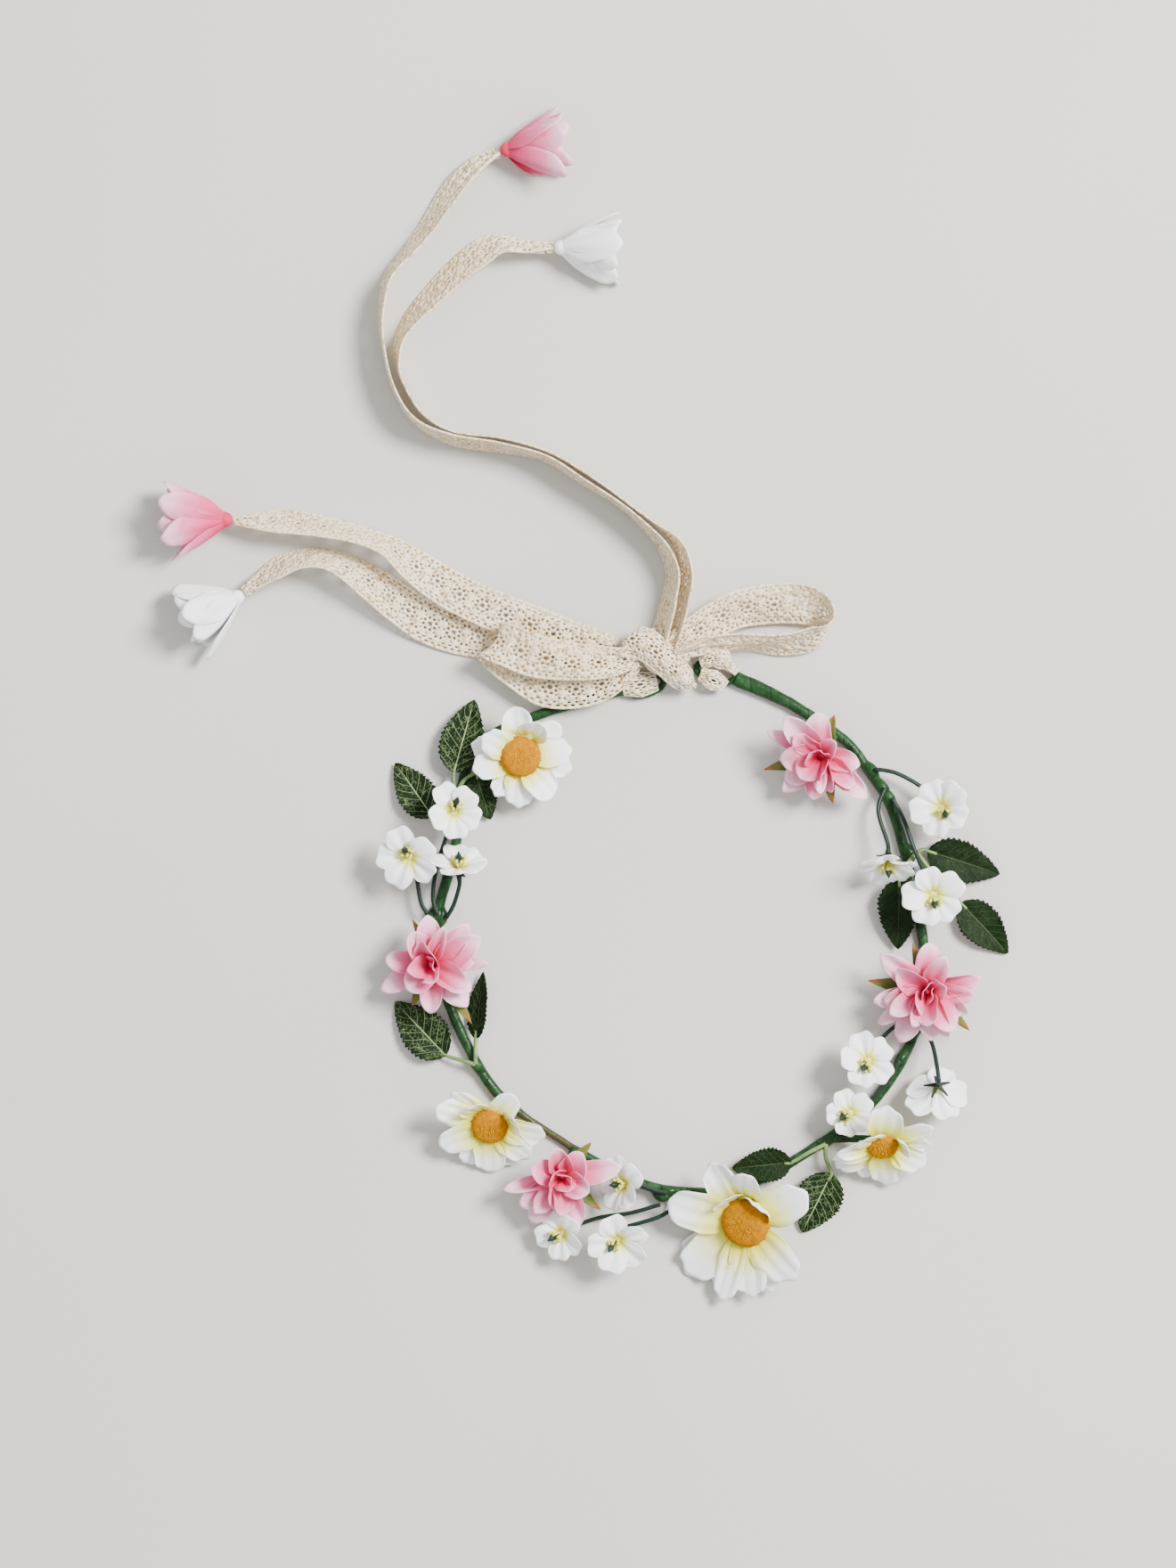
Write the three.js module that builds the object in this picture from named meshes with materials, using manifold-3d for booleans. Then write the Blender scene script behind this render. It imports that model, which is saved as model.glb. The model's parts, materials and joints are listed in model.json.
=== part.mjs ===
// Flower crown: an open wire hoop wrapped in green floral tape, with silk flowers and leaf sprigs along it.
// Two lace ribbons are hitched to the eyes at the hoop's ends and tied in a bow, with a blossom on each tail.
// Millimetres. The crown lies flat: +Z is up, +Y is towards the bow at the back of the head.
import * as THREE from "three";
import { mergeVertices } from "three/addons/utils/BufferGeometryUtils.js";
import Module from "manifold-3d";

const wasm = await Module();
wasm.setup();

// ---- Driving dimensions ----
const GAP = 0.3;

const HOOP_CENTRE = [-4.5, 2.5];
const TAPE_HALF = 2.1;
const WIRE_HALF = 0.9;
const HOOP_STEPS = 48;
const TAPED_FROM = 0.012;
const TAPED_TO = 0.988;
const HOOP_TOP = 2 * TAPE_HALF;
// The hoop's centreline as [angle in degrees from +X, distance from the hoop's centre].
const HOOP_ROUTE = [
  [78.5, 92.5], [64.5, 90], [50, 89.5], [42, 88], [31.5, 86.5], [15, 83.5], [1.5, 84.5], [-8, 86],
  [-24, 88.5], [-41, 88.5], [-55, 87], [-76, 89.5], [-92, 88], [-105, 84.5], [-120, 81.5], [-139, 83],
  [-157, 82.5], [-173, 84], [-185, 84], [-203, 84], [-218, 94], [-227, 95.5], [-236, 92], [-246, 89],
  [-258.5, 88],
];

const EYE_LENGTH = 16;
const EYE_WIDTH = 9;
const EYE_WIRE = 1.1;
const RIGHT_EYE_HEADING = 165;
const LEFT_EYE_HEADING = 14;

const RIBBON_WIDTH = 15;
const LACE_THICKNESS = 1.0;

const STEM_RADIUS = 1.05;
const NECK_RADIUS = 1.5;
const PETIOLE_RADIUS = 0.8;
const LEAF_THICKNESS = 0.8;

// ---- Finishes ----
const finish = (color, roughness) => new THREE.MeshStandardMaterial({ color, roughness, metalness: 0 });
const STEEL = new THREE.MeshStandardMaterial({ color: 0x8a8d88, roughness: 0.4, metalness: 1 });
const TAPE_GREEN = finish(0x2c5c38, 0.7);
const STEM_GREEN = finish(0x24402f, 0.45);
const LEAF_GREEN = finish(0x2c4a2b, 0.65);
const WHITE_PETAL = finish(0xeeeff0, 0.8);
const PINK_PETAL = finish(0xeda8b8, 0.8);
const SEPAL_GREEN = finish(0x7d7a38, 0.7);
const DISC_GOLD = finish(0xe6a00f, 0.95);
const LACE_CREAM = finish(0xece0cb, 0.9);

// ---- Solids and booleans ----
const vec = ([x, y, z = 0]) => new THREE.Vector3(x, y, z);
const radians = THREE.MathUtils.degToRad;

function solid(geometry) {
  const bare = geometry.clone();
  bare.deleteAttribute("normal");
  bare.deleteAttribute("uv");
  const merged = mergeVertices(bare, 1e-4);
  return new wasm.Manifold(
    new wasm.Mesh({
      numProp: 3,
      vertProperties: merged.attributes.position.array,
      triVerts: new Uint32Array(merged.index.array),
    }),
  );
}

function surface(manifold) {
  const mesh = manifold.getMesh();
  const geometry = new THREE.BufferGeometry();
  geometry.setAttribute("position", new THREE.BufferAttribute(new Float32Array(mesh.vertProperties), 3));
  geometry.setIndex(new THREE.BufferAttribute(new Uint32Array(mesh.triVerts), 1));
  geometry.computeVertexNormals();
  return geometry;
}

const join = (geometries) => surface(geometries.map(solid).reduce((whole, piece) => whole.add(piece)));
const cut = (geometry, tool) => surface(solid(geometry).subtract(solid(tool)));

// ---- Shape helpers ----
// A regular polygon with flat sides up, down, left and right, and its flats at the distance half.
function flatSided(half, sides) {
  const shape = new THREE.Shape();
  const radius = half / Math.cos(Math.PI / sides);
  for (let i = 0; i < sides; i += 1) {
    const angle = ((i + 0.5) * 2 * Math.PI) / sides;
    if (i === 0) shape.moveTo(radius * Math.cos(angle), radius * Math.sin(angle));
    else shape.lineTo(radius * Math.cos(angle), radius * Math.sin(angle));
  }
  return shape;
}

const sweep = (curve, half, sides, steps) =>
  new THREE.ExtrudeGeometry(flatSided(half, sides), { steps, bevelEnabled: false, extrudePath: curve });

const through = (points) => new THREE.CatmullRomCurve3(points.map(vec), false, "catmullrom", 0.5);

// The part of a curve between two fractions of its length.
class Stretch extends THREE.Curve {
  constructor(curve, from, to) {
    super();
    Object.assign(this, { curve, from, to });
  }

  getPoint(t, target) {
    return this.curve.getPointAt(this.from + (this.to - this.from) * t, target);
  }
}

// A body of revolution about +Z whose outline is pinched between petals, the more so the further out.
// With three segments a petal, the first falls in the notch and the other two on the petal.
function whorl(profile, petals, notch) {
  const reach = Math.max(...profile.map(([r]) => r));
  const points = profile.map(([r, z]) => new THREE.Vector2(r, z));
  const geometry = new THREE.LatheGeometry(points, 3 * petals);
  geometry.rotateX(Math.PI / 2);
  const position = geometry.attributes.position;
  for (let i = 0; i < position.count; i += 1) {
    const x = position.getX(i);
    const y = position.getY(i);
    const lobe = Math.abs(Math.sin((petals * Math.atan2(x, -y)) / 2)) / Math.sin(Math.PI / 3);
    const outness = Math.hypot(x, y) / reach;
    const scale = 1 - notch * outness ** 2 * (1 - lobe);
    position.setXY(i, x * scale, y * scale);
  }
  return geometry;
}

// The rotation that turns +Z towards facing (degrees in plan) by tilt, after a spin about +Z.
function attitude(facing, tilt, spin = 0) {
  const axis = new THREE.Vector3(-Math.sin(radians(facing)), Math.cos(radians(facing)), 0);
  const lean = new THREE.Quaternion().setFromAxisAngle(axis, radians(tilt));
  return lean.multiply(new THREE.Quaternion().setFromAxisAngle(new THREE.Vector3(0, 0, 1), radians(spin)));
}

// A strip bent along a route: each route point is [x, y, z, side x, side y, side z], where side points
// across the strip. The box's length runs along the route and its width along side.
function strip(route, width, thickness, steps) {
  const path = through(route.map(([x, y, z]) => [x, y, z]));
  const sides = through(route.map(([, , , x, y, z]) => [x, y, z]));
  const geometry = new THREE.BoxGeometry(1, width, thickness, steps, 1, 1);
  const position = geometry.attributes.position;
  for (let i = 0; i < position.count; i += 1) {
    const t = position.getX(i) + 0.5;
    const along = path.getTangent(t);
    const across = sides.getPoint(t);
    across.addScaledVector(along, -across.dot(along)).normalize();
    const normal = new THREE.Vector3().crossVectors(along, across);
    const point = path.getPoint(t);
    point.addScaledVector(across, position.getY(i)).addScaledVector(normal, position.getZ(i));
    position.setXYZ(i, point.x, point.y, point.z);
  }
  return geometry;
}

// The route of a strip that lies on the table: points are [x, y, bank, lift], where bank is how far the
// strip is turned up on its edge in degrees, with its left edge up if positive and its right edge up if
// negative, and lift is the height of its lower edge.
function lying(points, width, thickness) {
  return points.map(([x, y, bank, lift = 0], i) => {
    const before = points[Math.max(i - 1, 0)];
    const after = points[Math.min(i + 1, points.length - 1)];
    const heading = Math.atan2(after[1] - before[1], after[0] - before[0]);
    const lean = radians(bank);
    const z = lift + (width / 2) * Math.abs(Math.sin(lean)) + (thickness / 2) * Math.cos(lean);
    return [x, y, z, -Math.sin(heading) * Math.cos(lean), Math.cos(heading) * Math.cos(lean), Math.sin(lean)];
  });
}

// ---- The crown ----
const crown = new THREE.Group();
crown.name = "flower_crown";

function add(name, geometry, material, parent = crown) {
  const mesh = new THREE.Mesh(geometry, material);
  mesh.name = name;
  parent.add(mesh);
  return mesh;
}

// ---- Hoop: the wire with an eye bent at each end, and the tape over it ----
const hoopPoint = ([angle, distance]) => [
  HOOP_CENTRE[0] + distance * Math.cos(radians(angle)),
  HOOP_CENTRE[1] + distance * Math.sin(radians(angle)),
  TAPE_HALF,
];
const hoopCurve = through(HOOP_ROUTE.map(hoopPoint));
hoopCurve.arcLengthDivisions = 1200;

function eye(end, heading) {
  const outward = vec([Math.cos(radians(heading)), Math.sin(radians(heading))]);
  const ring = new THREE.TorusGeometry(1, EYE_WIRE, 6, 14);
  const position = ring.attributes.position;
  for (let i = 0; i < position.count; i += 1) {
    const centre = new THREE.Vector2(position.getX(i), position.getY(i)).normalize();
    const out = Math.hypot(position.getX(i), position.getY(i)) - 1;
    position.setX(i, centre.x * (EYE_LENGTH / 2 - EYE_WIRE + out));
    position.setY(i, centre.y * (EYE_WIDTH / 2 - EYE_WIRE + out));
  }
  ring.rotateZ(radians(heading));
  const centre = end.clone().addScaledVector(outward, EYE_LENGTH / 2 - 2 * EYE_WIRE);
  return ring.translate(centre.x, centre.y, centre.z);
}

const wireCore = sweep(hoopCurve, WIRE_HALF, 6, HOOP_STEPS);
const rightEye = eye(hoopCurve.getPointAt(0), RIGHT_EYE_HEADING);
const leftEye = eye(hoopCurve.getPointAt(1), LEFT_EYE_HEADING);
add("hoop_wire", join([wireCore, rightEye, leftEye]), STEEL);

// Large flower heads: where each grows from the hoop, where its base is, and how it faces.
const DAISIES = [
  { name: "daisy_right", root: -53.5, base: [65.5, -67.5, 12.5],
    radius: 17.5, cup: 0.08, facing: 270, tilt: 38 },
  { name: "daisy_front", root: -76, base: [19, -95, 10],
    radius: 30, cup: 0.25, facing: 220, tilt: 22 },
  { name: "daisy_left_front", root: -136, base: [-70, -61.5, 8.5],
    radius: 19.5, cup: 0.28, facing: 268, tilt: 24 },
  { name: "daisy_left_back", root: -229, base: [-59.5, 65.5, 9],
    radius: 18, cup: 0.15, facing: 300, tilt: 6 },
];
const PINKS = [
  { name: "pink_right_back", root: 52, base: [44.5, 65.5, 10.5], radius: 17, facing: 225, tilt: 10 },
  { name: "pink_right", root: -12, base: [81, -15.5, 11], radius: 18.5, facing: 235, tilt: 6 },
  { name: "pink_left_front", root: -116, base: [-45, -79.5, 11],
    radius: 15.5, facing: 280, tilt: 6, spin: 45 },
  { name: "pink_left", root: -174, base: [-90, -6.5, 10.5], radius: 17, facing: 200, tilt: 8 },
];

function taperedEnd() {
  const end = hoopCurve.getPointAt(TAPED_FROM);
  const toward = hoopCurve.getPointAt(0.055);
  const length = end.distanceTo(toward);
  const cone = new THREE.CylinderGeometry(TAPE_HALF, 3.3, length, 8, 1, false, Math.PI / 8);
  cone.rotateX(-Math.PI / 2).scale(1, 0.9, 1);
  const place = new THREE.Object3D();
  place.position.copy(end).lerp(toward, 0.5);
  place.up.set(0, 0, 1);
  place.lookAt(toward);
  place.updateMatrix();
  cone.applyMatrix4(place.matrix);
  // The doubled end is pressed flat, no deeper than the rest of the hoop.
  const position = cone.attributes.position;
  for (let i = 0; i < position.count; i += 1) {
    const z = THREE.MathUtils.clamp(position.getZ(i), 0.05, HOOP_TOP - 0.05);
    position.setZ(i, z);
  }
  return cone;
}

const neck = ({ base, root, facing, tilt }) => {
  const start = hoopPoint([root, hoopRadiusAt(root)]);
  const behind = new THREE.Vector3(0, 0, -1).applyQuaternion(attitude(facing, tilt));
  const top = vec(base).addScaledVector(behind, 2.5);
  const middle = [(start[0] + top.x) / 2, (start[1] + top.y) / 2, start[2] + (top.z - start[2]) * 0.35];
  return sweep(through([start, middle, top.toArray()]), NECK_RADIUS, 6, 5);
};

// The hoop's distance from its centre at an angle, between the points of its route.
function hoopRadiusAt(angle) {
  const after = HOOP_ROUTE.findIndex(([a]) => a <= angle);
  const [a0, r0] = HOOP_ROUTE[after - 1];
  const [a1, r1] = HOOP_ROUTE[after];
  return r0 + ((r1 - r0) * (angle - a0)) / (a1 - a0);
}

const tapeOuter = sweep(new Stretch(hoopCurve, TAPED_FROM, TAPED_TO), TAPE_HALF, 8, HOOP_STEPS);
const tapeBore = sweep(new Stretch(hoopCurve, 0, 1), WIRE_HALF + GAP, 6, HOOP_STEPS);
const taped = join([tapeOuter, taperedEnd(), ...[...DAISIES, ...PINKS].map(neck)]);
add("hoop_tape", cut(taped, tapeBore), TAPE_GREEN);

// ---- Large flower heads ----
function daisyPetals(radius, cup) {
  const rise = cup * radius;
  const profile = [
    [0, 0], [0.3 * radius, 0], [0.7 * radius, 0.5 * rise], [radius, rise],
    [0.98 * radius, rise + 0.9], [0.65 * radius, 0.5 * rise + 1.2], [0.32 * radius, 1.4], [0, 1.4],
  ];
  return whorl(profile, 10, 0.24);
}

function daisyDisc(radius) {
  const r = 0.32 * radius;
  const bottom = 1.4 + GAP;
  const profile = [
    [0, bottom], [0.8 * r, bottom], [r, bottom + 1.2], [0.7 * r, bottom + 3.4], [0, bottom + 4.2],
  ];
  return whorl(profile, 4, 0);
}

function pinkPetals(radius) {
  const profile = [
    [0, 0], [0.35 * radius, 0], [radius, 2.6], [0.98 * radius, 3.8],
    [0.75 * radius, 7], [0.5 * radius, 9], [0.2 * radius, 9.6], [0, 8.6],
  ];
  return whorl(profile, 7, 0.2);
}

function sepals(radius) {
  const bottom = -GAP - 0.8;
  const top = -GAP;
  return whorl([[0, bottom], [0.92 * radius, bottom], [0.92 * radius, top], [0, top]], 4, 0.6);
}

function head({ base, facing, tilt, spin = 0 }) {
  const group = new THREE.Group();
  group.position.copy(vec(base));
  group.quaternion.copy(attitude(facing, tilt, spin));
  crown.add(group);
  return group;
}

for (const daisy of DAISIES) {
  const group = head(daisy);
  add(`${daisy.name}_petals`, daisyPetals(daisy.radius, daisy.cup), WHITE_PETAL, group);
  add(`${daisy.name}_disc`, daisyDisc(daisy.radius), DISC_GOLD, group);
}

for (const pink of PINKS) {
  const group = head(pink);
  add(`${pink.name}_petals`, pinkPetals(pink.radius), PINK_PETAL, group);
  add(`${pink.name}_sepals`, sepals(pink.radius), SEPAL_GREEN, group);
}

// ---- White blossoms: throat is the bottom of the funnel, stem the route from the hoop to its back ----
const BLOSSOMS = [
  { name: "right_back_outer", throat: [86.5, 47.5, 11], radius: 11.5, facing: 180, tilt: 20, spin: 10,
    stem: [[63.5, 61, 5.7], [71, 59.5, 6.4], [80, 54.5, 6.4]] },
  { name: "right_back_inner", throat: [67.5, 30.5, 13], radius: 11, facing: 270, tilt: 62, spin: 0,
    stem: [[67, 54.5, 5.7], [64.5, 46.5, 7.5]] },
  { name: "right_back_middle", throat: [83, 18, 12.5], radius: 11.5, facing: 270, tilt: 10, spin: 0,
    stem: [[69.5, 51, 5.7], [73.5, 43, 7.2], [77, 33, 8.8]] },
  { name: "right_inner", throat: [60.5, -40, 11], radius: 10.5, facing: 90, tilt: 8, spin: 0,
    stem: [[75.5, -26, 5.7], [70, -28.5, 5.7], [64, -34.5, 5.7]] },
  { name: "right_outer", throat: [84.5, -47, 14], radius: 11.5, facing: 270, tilt: 128, spin: 36,
    stem: [[79, -28.5, 5.7], [83, -34, 9]] },
  { name: "right_front", throat: [54.5, -58, 8.3], radius: 9, facing: 110, tilt: 6, spin: 0,
    approach: 0, stem: [[72, -40, 5.7], [67.5, -48, 5.7], [61, -55, 5.7], [57, -57.5, 5.8]] },
  { name: "front_inner", throat: [-22.5, -82.5, 9.5], radius: 10.5, facing: 180, tilt: 42, spin: 0,
    approach: 2.5, stem: [[-8.5, -86, 5.8], [-13, -85, 5.8]] },
  { name: "front_middle", throat: [-26, -101, 10], radius: 11.5, facing: 285, tilt: 22, spin: 0,
    stem: [[-5.5, -90.5, 5.7], [-12, -94.5, 5.7]] },
  { name: "front_outer", throat: [-45.5, -101.2, 5.8], radius: 9, facing: 215, tilt: 20, spin: 10,
    approach: 2.5, stem: [[-11, -90, 5.7], [-21, -93, 4], [-32, -94.8, 2.6]] },
  { name: "left_outer", throat: [-97.5, 31, 11], radius: 11.5, facing: 225, tilt: 15, spin: 0,
    stem: [[-91.6, 10.5, 5.7], [-94.2, 16, 5.9]] },
  { name: "left_back", throat: [-82.5, 46, 11], radius: 10.5, facing: 60, tilt: 8, spin: 20,
    stem: [[-88.3, 10.5, 5.7], [-89.8, 17, 5.6], [-88.4, 27, 5.2], [-85, 38, 5.9]] },
  { name: "left_inner", throat: [-80.5, 25.5, 12], radius: 11, facing: 90, tilt: 62, spin: 0,
    stem: [[-85, 9.5, 5.7], [-82.5, 14, 7]] },
];
const FUNNEL_DEPTH = 0.5;
const STEM_END = 1.6;
const STEM_SIDE_END = 2.4;
const STEM_APPROACH = 4;

function funnel(radius) {
  const depth = FUNNEL_DEPTH * radius;
  const profile = [
    [0, -0.8], [0.2 * radius, -0.6], [0.6 * radius, 0.5 * depth - 0.7], [radius, depth],
    [0.97 * radius, depth + 0.7], [0.55 * radius, 0.5 * depth + 0.3], [0.2 * radius, 0.3], [0, 0],
  ];
  return whorl(profile, 5, 0.22);
}

for (const { name, throat, radius, facing, tilt, spin, stem, approach = STEM_APPROACH } of BLOSSOMS) {
  const group = head({ base: throat, facing, tilt, spin });
  add(`blossom_${name}`, funnel(radius), WHITE_PETAL, group);
  const behind = new THREE.Vector3(0, 0, -1).applyQuaternion(attitude(facing, tilt));
  const tips = (approach > 0 ? [STEM_END + approach, STEM_END] : [STEM_SIDE_END]).map((distance) =>
    vec(throat).addScaledVector(behind, distance).toArray(),
  );
  add(`stem_${name}`, sweep(through([...stem, ...tips]), STEM_RADIUS, 6, 2 * stem.length + 2), STEM_GREEN);
}

// ---- Leaf sprigs ----
const SPRIGS = [
  { name: "leaf_sprig_right", root: [78, 32, 5.4],
    leaves: [
      { base: [82, 32.5, 4.4], tip: [107, 24.5, 2.2], width: 15, roll: 4, way: [80, 33, 5.2] },
      { base: [72, 23, 6.2], tip: [71.5, -1.5, 3.2], width: 14.5, roll: 8, way: [74.5, 28, 6.2] },
      { base: [93.5, 14.5, 3.2], tip: [110, -3, 1.6], width: 14, roll: -4, way: [86, 22, 4.2] },
    ] },
  { name: "leaf_sprig_front", root: [46.5, -69, 5.4],
    leaves: [
      { base: [48.5, -79.5, 3.6], tip: [38.5, -100, 1.6], width: 16, roll: 0, way: [46.5, -74, 4.8] },
      { base: [34.5, -75.5, 5.2], tip: [14, -77.5, 5.2], width: 12, roll: 0, way: [40.5, -72, 5.6] },
    ] },
  { name: "leaf_sprig_left_front", root: [-75, -41.5, 5.4],
    leaves: [
      { base: [-85.5, -38.5, 3.2], tip: [-103, -20, 1.6], width: 16, roll: 0, way: [-80, -40, 4.6] },
      { base: [-75, -32.5, 4.6], tip: [-72.5, -9.5, 3.4], width: 10, roll: -40, way: [-75, -37, 5.4] },
    ] },
  { name: "leaf_sprig_left_back", root: [-82, 52, 5.4],
    leaves: [
      { base: [-90, 44.5, 3.2], tip: [-103, 63, 2], width: 13.5, roll: 0, way: [-86, 47.5, 4.6] },
      { base: [-82.5, 60, 5.8], tip: [-75.5, 85, 4.4], width: 15.5, roll: -8, way: [-82.5, 56, 5.8] },
      { base: [-75, 59.5, 5.6], tip: [-70, 43.5, 2.4], width: 11, roll: 0, way: [-79, 57, 6] },
    ] },
];

// A leaf blade with its base at the origin, its tip along +X and its face up.
function blade(length, width) {
  const shape = new THREE.Shape();
  shape.moveTo(0, 0);
  shape.bezierCurveTo(0.05 * length, 0.62 * width, 0.6 * length, 0.62 * width, length, 0);
  shape.bezierCurveTo(0.6 * length, -0.62 * width, 0.05 * length, -0.62 * width, 0, 0);
  const plate = { depth: LEAF_THICKNESS, bevelEnabled: false, curveSegments: 5 };
  return new THREE.ExtrudeGeometry(shape, plate).translate(0, 0, -LEAF_THICKNESS / 2);
}

function leaf({ base, tip, width, roll }) {
  const along = vec(tip).sub(vec(base));
  const length = along.length();
  along.normalize();
  const across = new THREE.Vector3(0, 0, 1).cross(along).normalize();
  const up = new THREE.Vector3().crossVectors(along, across);
  const frame = new THREE.Matrix4().makeBasis(along, across, up).setPosition(...base);
  return blade(length, width).rotateX(radians(roll)).applyMatrix4(frame);
}

function petiole(root, { base, tip, way }) {
  const into = vec(base).lerp(vec(tip), 0.12).toArray();
  return sweep(through([root, way, base, into]), PETIOLE_RADIUS, 6, 4);
}

for (const { name, root, leaves } of SPRIGS) {
  const pieces = leaves.flatMap((one) => [leaf(one), petiole(root, one)]);
  add(name, join(pieces), LEAF_GREEN);
}

// ---- Ribbons ----
const KNOT = { at: [-11.5, 100, 8.6], length: 27, width: 15.5, height: 10.5, heading: -36 };
const knotBody = new THREE.SphereGeometry(0.5, 12, 8).rotateX(Math.PI / 2);
const knot = add("bow_knot", knotBody, LACE_CREAM);
knot.position.set(...KNOT.at);
knot.rotation.z = radians(KNOT.heading);
knot.scale.set(KNOT.length, KNOT.width, KNOT.height);

// The loops go out low, fold at their far end and come back above or beside themselves.
const LOOP_LEFT = [
  [-26, 95, 6.2, 0, 1, 0], [-34, 92.8, 5.6, 0, 1, 0], [-42.5, 91.3, 5.3, 0.05, 1, 0],
  [-51, 91.6, 5.4, 0.15, 1, 0], [-58.5, 95, 6, 0.4, 0.92, 0], [-65, 100, 7.2, 0.5, 0.85, 0],
  [-68.6, 104.5, 10, 0.5, 0.85, 0], [-64, 103.8, 12.6, 0.45, 0.9, 0], [-55, 100.2, 13.4, 0.3, 0.95, 0.1],
  [-44, 98.3, 13, 0.15, 0.98, 0.1], [-34, 97.8, 12.2, 0.1, 1, 0], [-26, 98.3, 11, 0.1, 1, 0],
];
const LOOP_RIGHT = [
  [2, 109, 9, -0.15, 0.97, 0.2], [8, 112.6, 7.8, -0.2, 0.95, 0.25], [16, 116.4, 6.6, -0.2, 0.93, 0.34],
  [26, 118, 5.8, 0, 0.93, 0.37], [37, 118.3, 6, 0, 0.9, 0.43], [44.3, 116, 6.8, 0.25, 0.72, 0.65],
  [46.6, 111, 7.8, 0.3, 0.45, 0.8], [42, 106.4, 7.8, 0.05, 0.5, 0.85], [31, 104.3, 7.6, 0, 0.48, 0.87],
  [18, 105, 7.8, 0, 0.42, 0.9], [9, 105, 8.6, 0, 0.45, 0.89], [3, 104.6, 9.4, 0, 0.5, 0.86],
];
add("bow_loop_left", strip(LOOP_LEFT, RIBBON_WIDTH, LACE_THICKNESS, 34), LACE_CREAM);
add("bow_loop_right", strip(LOOP_RIGHT, RIBBON_WIDTH, LACE_THICKNESS, 34), LACE_CREAM);

const HITCH_RIGHT = [
  [3.5, 95, 5.2, 0.2, 1, 0], [8, 94.8, 5.8, 0.25, 1, 0], [12.5, 93.8, 5.8, 0.35, 1, 0],
  [16.2, 92.2, 5.4, 0.45, 1, 0],
];
const HITCH_LEFT = [[-21.5, 90, 4.5, 0, 1, 0], [-17, 90.2, 4.6, 0, 1, 0], [-13, 90.6, 4.5, 0, 1, 0]];
add("ribbon_hitch_right", strip(HITCH_RIGHT, 11, 1.4, 5), LACE_CREAM);
add("ribbon_hitch_left", strip(HITCH_LEFT, 7, 1.2, 3), LACE_CREAM);

// The tails' routes: [x, y, bank, lift] as in lying().
const TAILS = {
  ribbon_tail_back_long: [
    [-10.5, 109.5, -64], [-8, 120, -68], [-6.5, 128.5, -72], [-9.5, 137, -78], [-17, 145.5, -85],
    [-26.5, 153.5, -86], [-37.5, 160.5, -86], [-51, 168.5, -85], [-67, 172.5, -80], [-83.5, 175, -80],
    [-96, 181.5, -85], [-103.5, 193.5, -87], [-107, 207.5, -86], [-107.5, 220, -80], [-105, 232, -75],
    [-98, 241, -68], [-91.5, 249, -62], [-86, 257.5, -58], [-80, 265.5, -52], [-73, 271.5, -50],
    [-66.5, 274.5, -54],
  ],
  ribbon_tail_back_short: [
    [-6, 109.5, -64], [-3.5, 119, -68], [-2, 128, -72], [-5, 138.5, -78], [-13.8, 146.9, -92],
    [-23.9, 154.6, -94], [-35.2, 162.4, -94], [-49, 170.8, -94], [-65.7, 175.4, -94], [-81.9, 177.8, -94],
    [-93.3, 184.2, -92], [-100.4, 195.6, -90], [-102, 203.5, -80], [-101, 210, -73], [-96.5, 217.5, -64],
    [-89.5, 225.5, -56], [-82, 233, -50], [-73, 240, -46], [-66, 243, -52], [-57, 242, -54],
    [-48, 241.5, -56],
  ],
  ribbon_tail_side_long: [
    [-27, 101, 0, 2.6], [-39, 104.5, 0, 2.8], [-54.5, 110.5, 4, 2.6], [-68.5, 116, 8, 2.2],
    [-79.5, 121, 14, 1.4], [-89, 126.5, 24, 0.6], [-97.5, 132.5, 40], [-106, 138.5, 58], [-116.5, 142.5, 62],
    [-127.5, 145, 58], [-140, 146.5, 54], [-150.5, 147, 54], [-158.5, 147.2, 58],
  ],
  ribbon_tail_side_short: [
    [-27, 98.5, 0, 0.5], [-39, 100, 0, 0.3], [-54.5, 103.5, 0], [-68.5, 106, 0], [-81, 108, 2],
    [-92, 112, 6], [-101, 118, 18], [-110.5, 125, 34], [-118, 130, 50], [-126, 133.5, 60],
    [-135, 133.8, 60], [-144, 130.5, 56], [-150.5, 126, 54], [-155, 122.3, 58],
  ],
};
const TAIL_STEP = 5;
for (const [name, points] of Object.entries(TAILS)) {
  const route = lying(points, RIBBON_WIDTH, LACE_THICKNESS);
  const steps = Math.ceil(through(points.map(([x, y]) => [x, y])).getLength() / TAIL_STEP);
  add(name, strip(route, RIBBON_WIDTH, LACE_THICKNESS, steps), LACE_CREAM);
}

// ---- End blossoms: bells lying on the table, narrow at the ribbon and open at the far end ----
const BELLS = [
  { name: "end_blossom_back_pink", base: [-64.8, 275.2, 8], heading: 12, length: 25, radius: 12.5 },
  { name: "end_blossom_back_white", base: [-46.3, 241.5, 8], heading: 0, length: 25, radius: 12 },
  { name: "end_blossom_side_pink", base: [-160.3, 147.3, 8], heading: 180, length: 25, radius: 12 },
  { name: "end_blossom_side_white", base: [-156.7, 120.8, 8], heading: 205, length: 24, radius: 11.5 },
];
const BELL_FLATTENING = 0.8;
const BELL_DROOP = 6;

function bell(length, radius) {
  const profile = [
    [0, 0], [0.24 * radius, 0], [0.6 * radius, 0.25 * length], [0.92 * radius, 0.6 * length],
    [radius, 0.92 * length], [0.75 * radius, length], [0, 0.9 * length],
  ];
  return whorl(profile, 5, 0.12).rotateY(Math.PI / 2).scale(1, 1, BELL_FLATTENING);
}

for (const { name, base, heading, length, radius } of BELLS) {
  const mesh = add(name, bell(length, radius), name.endsWith("pink") ? PINK_PETAL : WHITE_PETAL);
  mesh.position.set(...base);
  mesh.rotation.set(0, radians(-BELL_DROOP), radians(heading), "ZYX");
}

export default crown;
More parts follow.
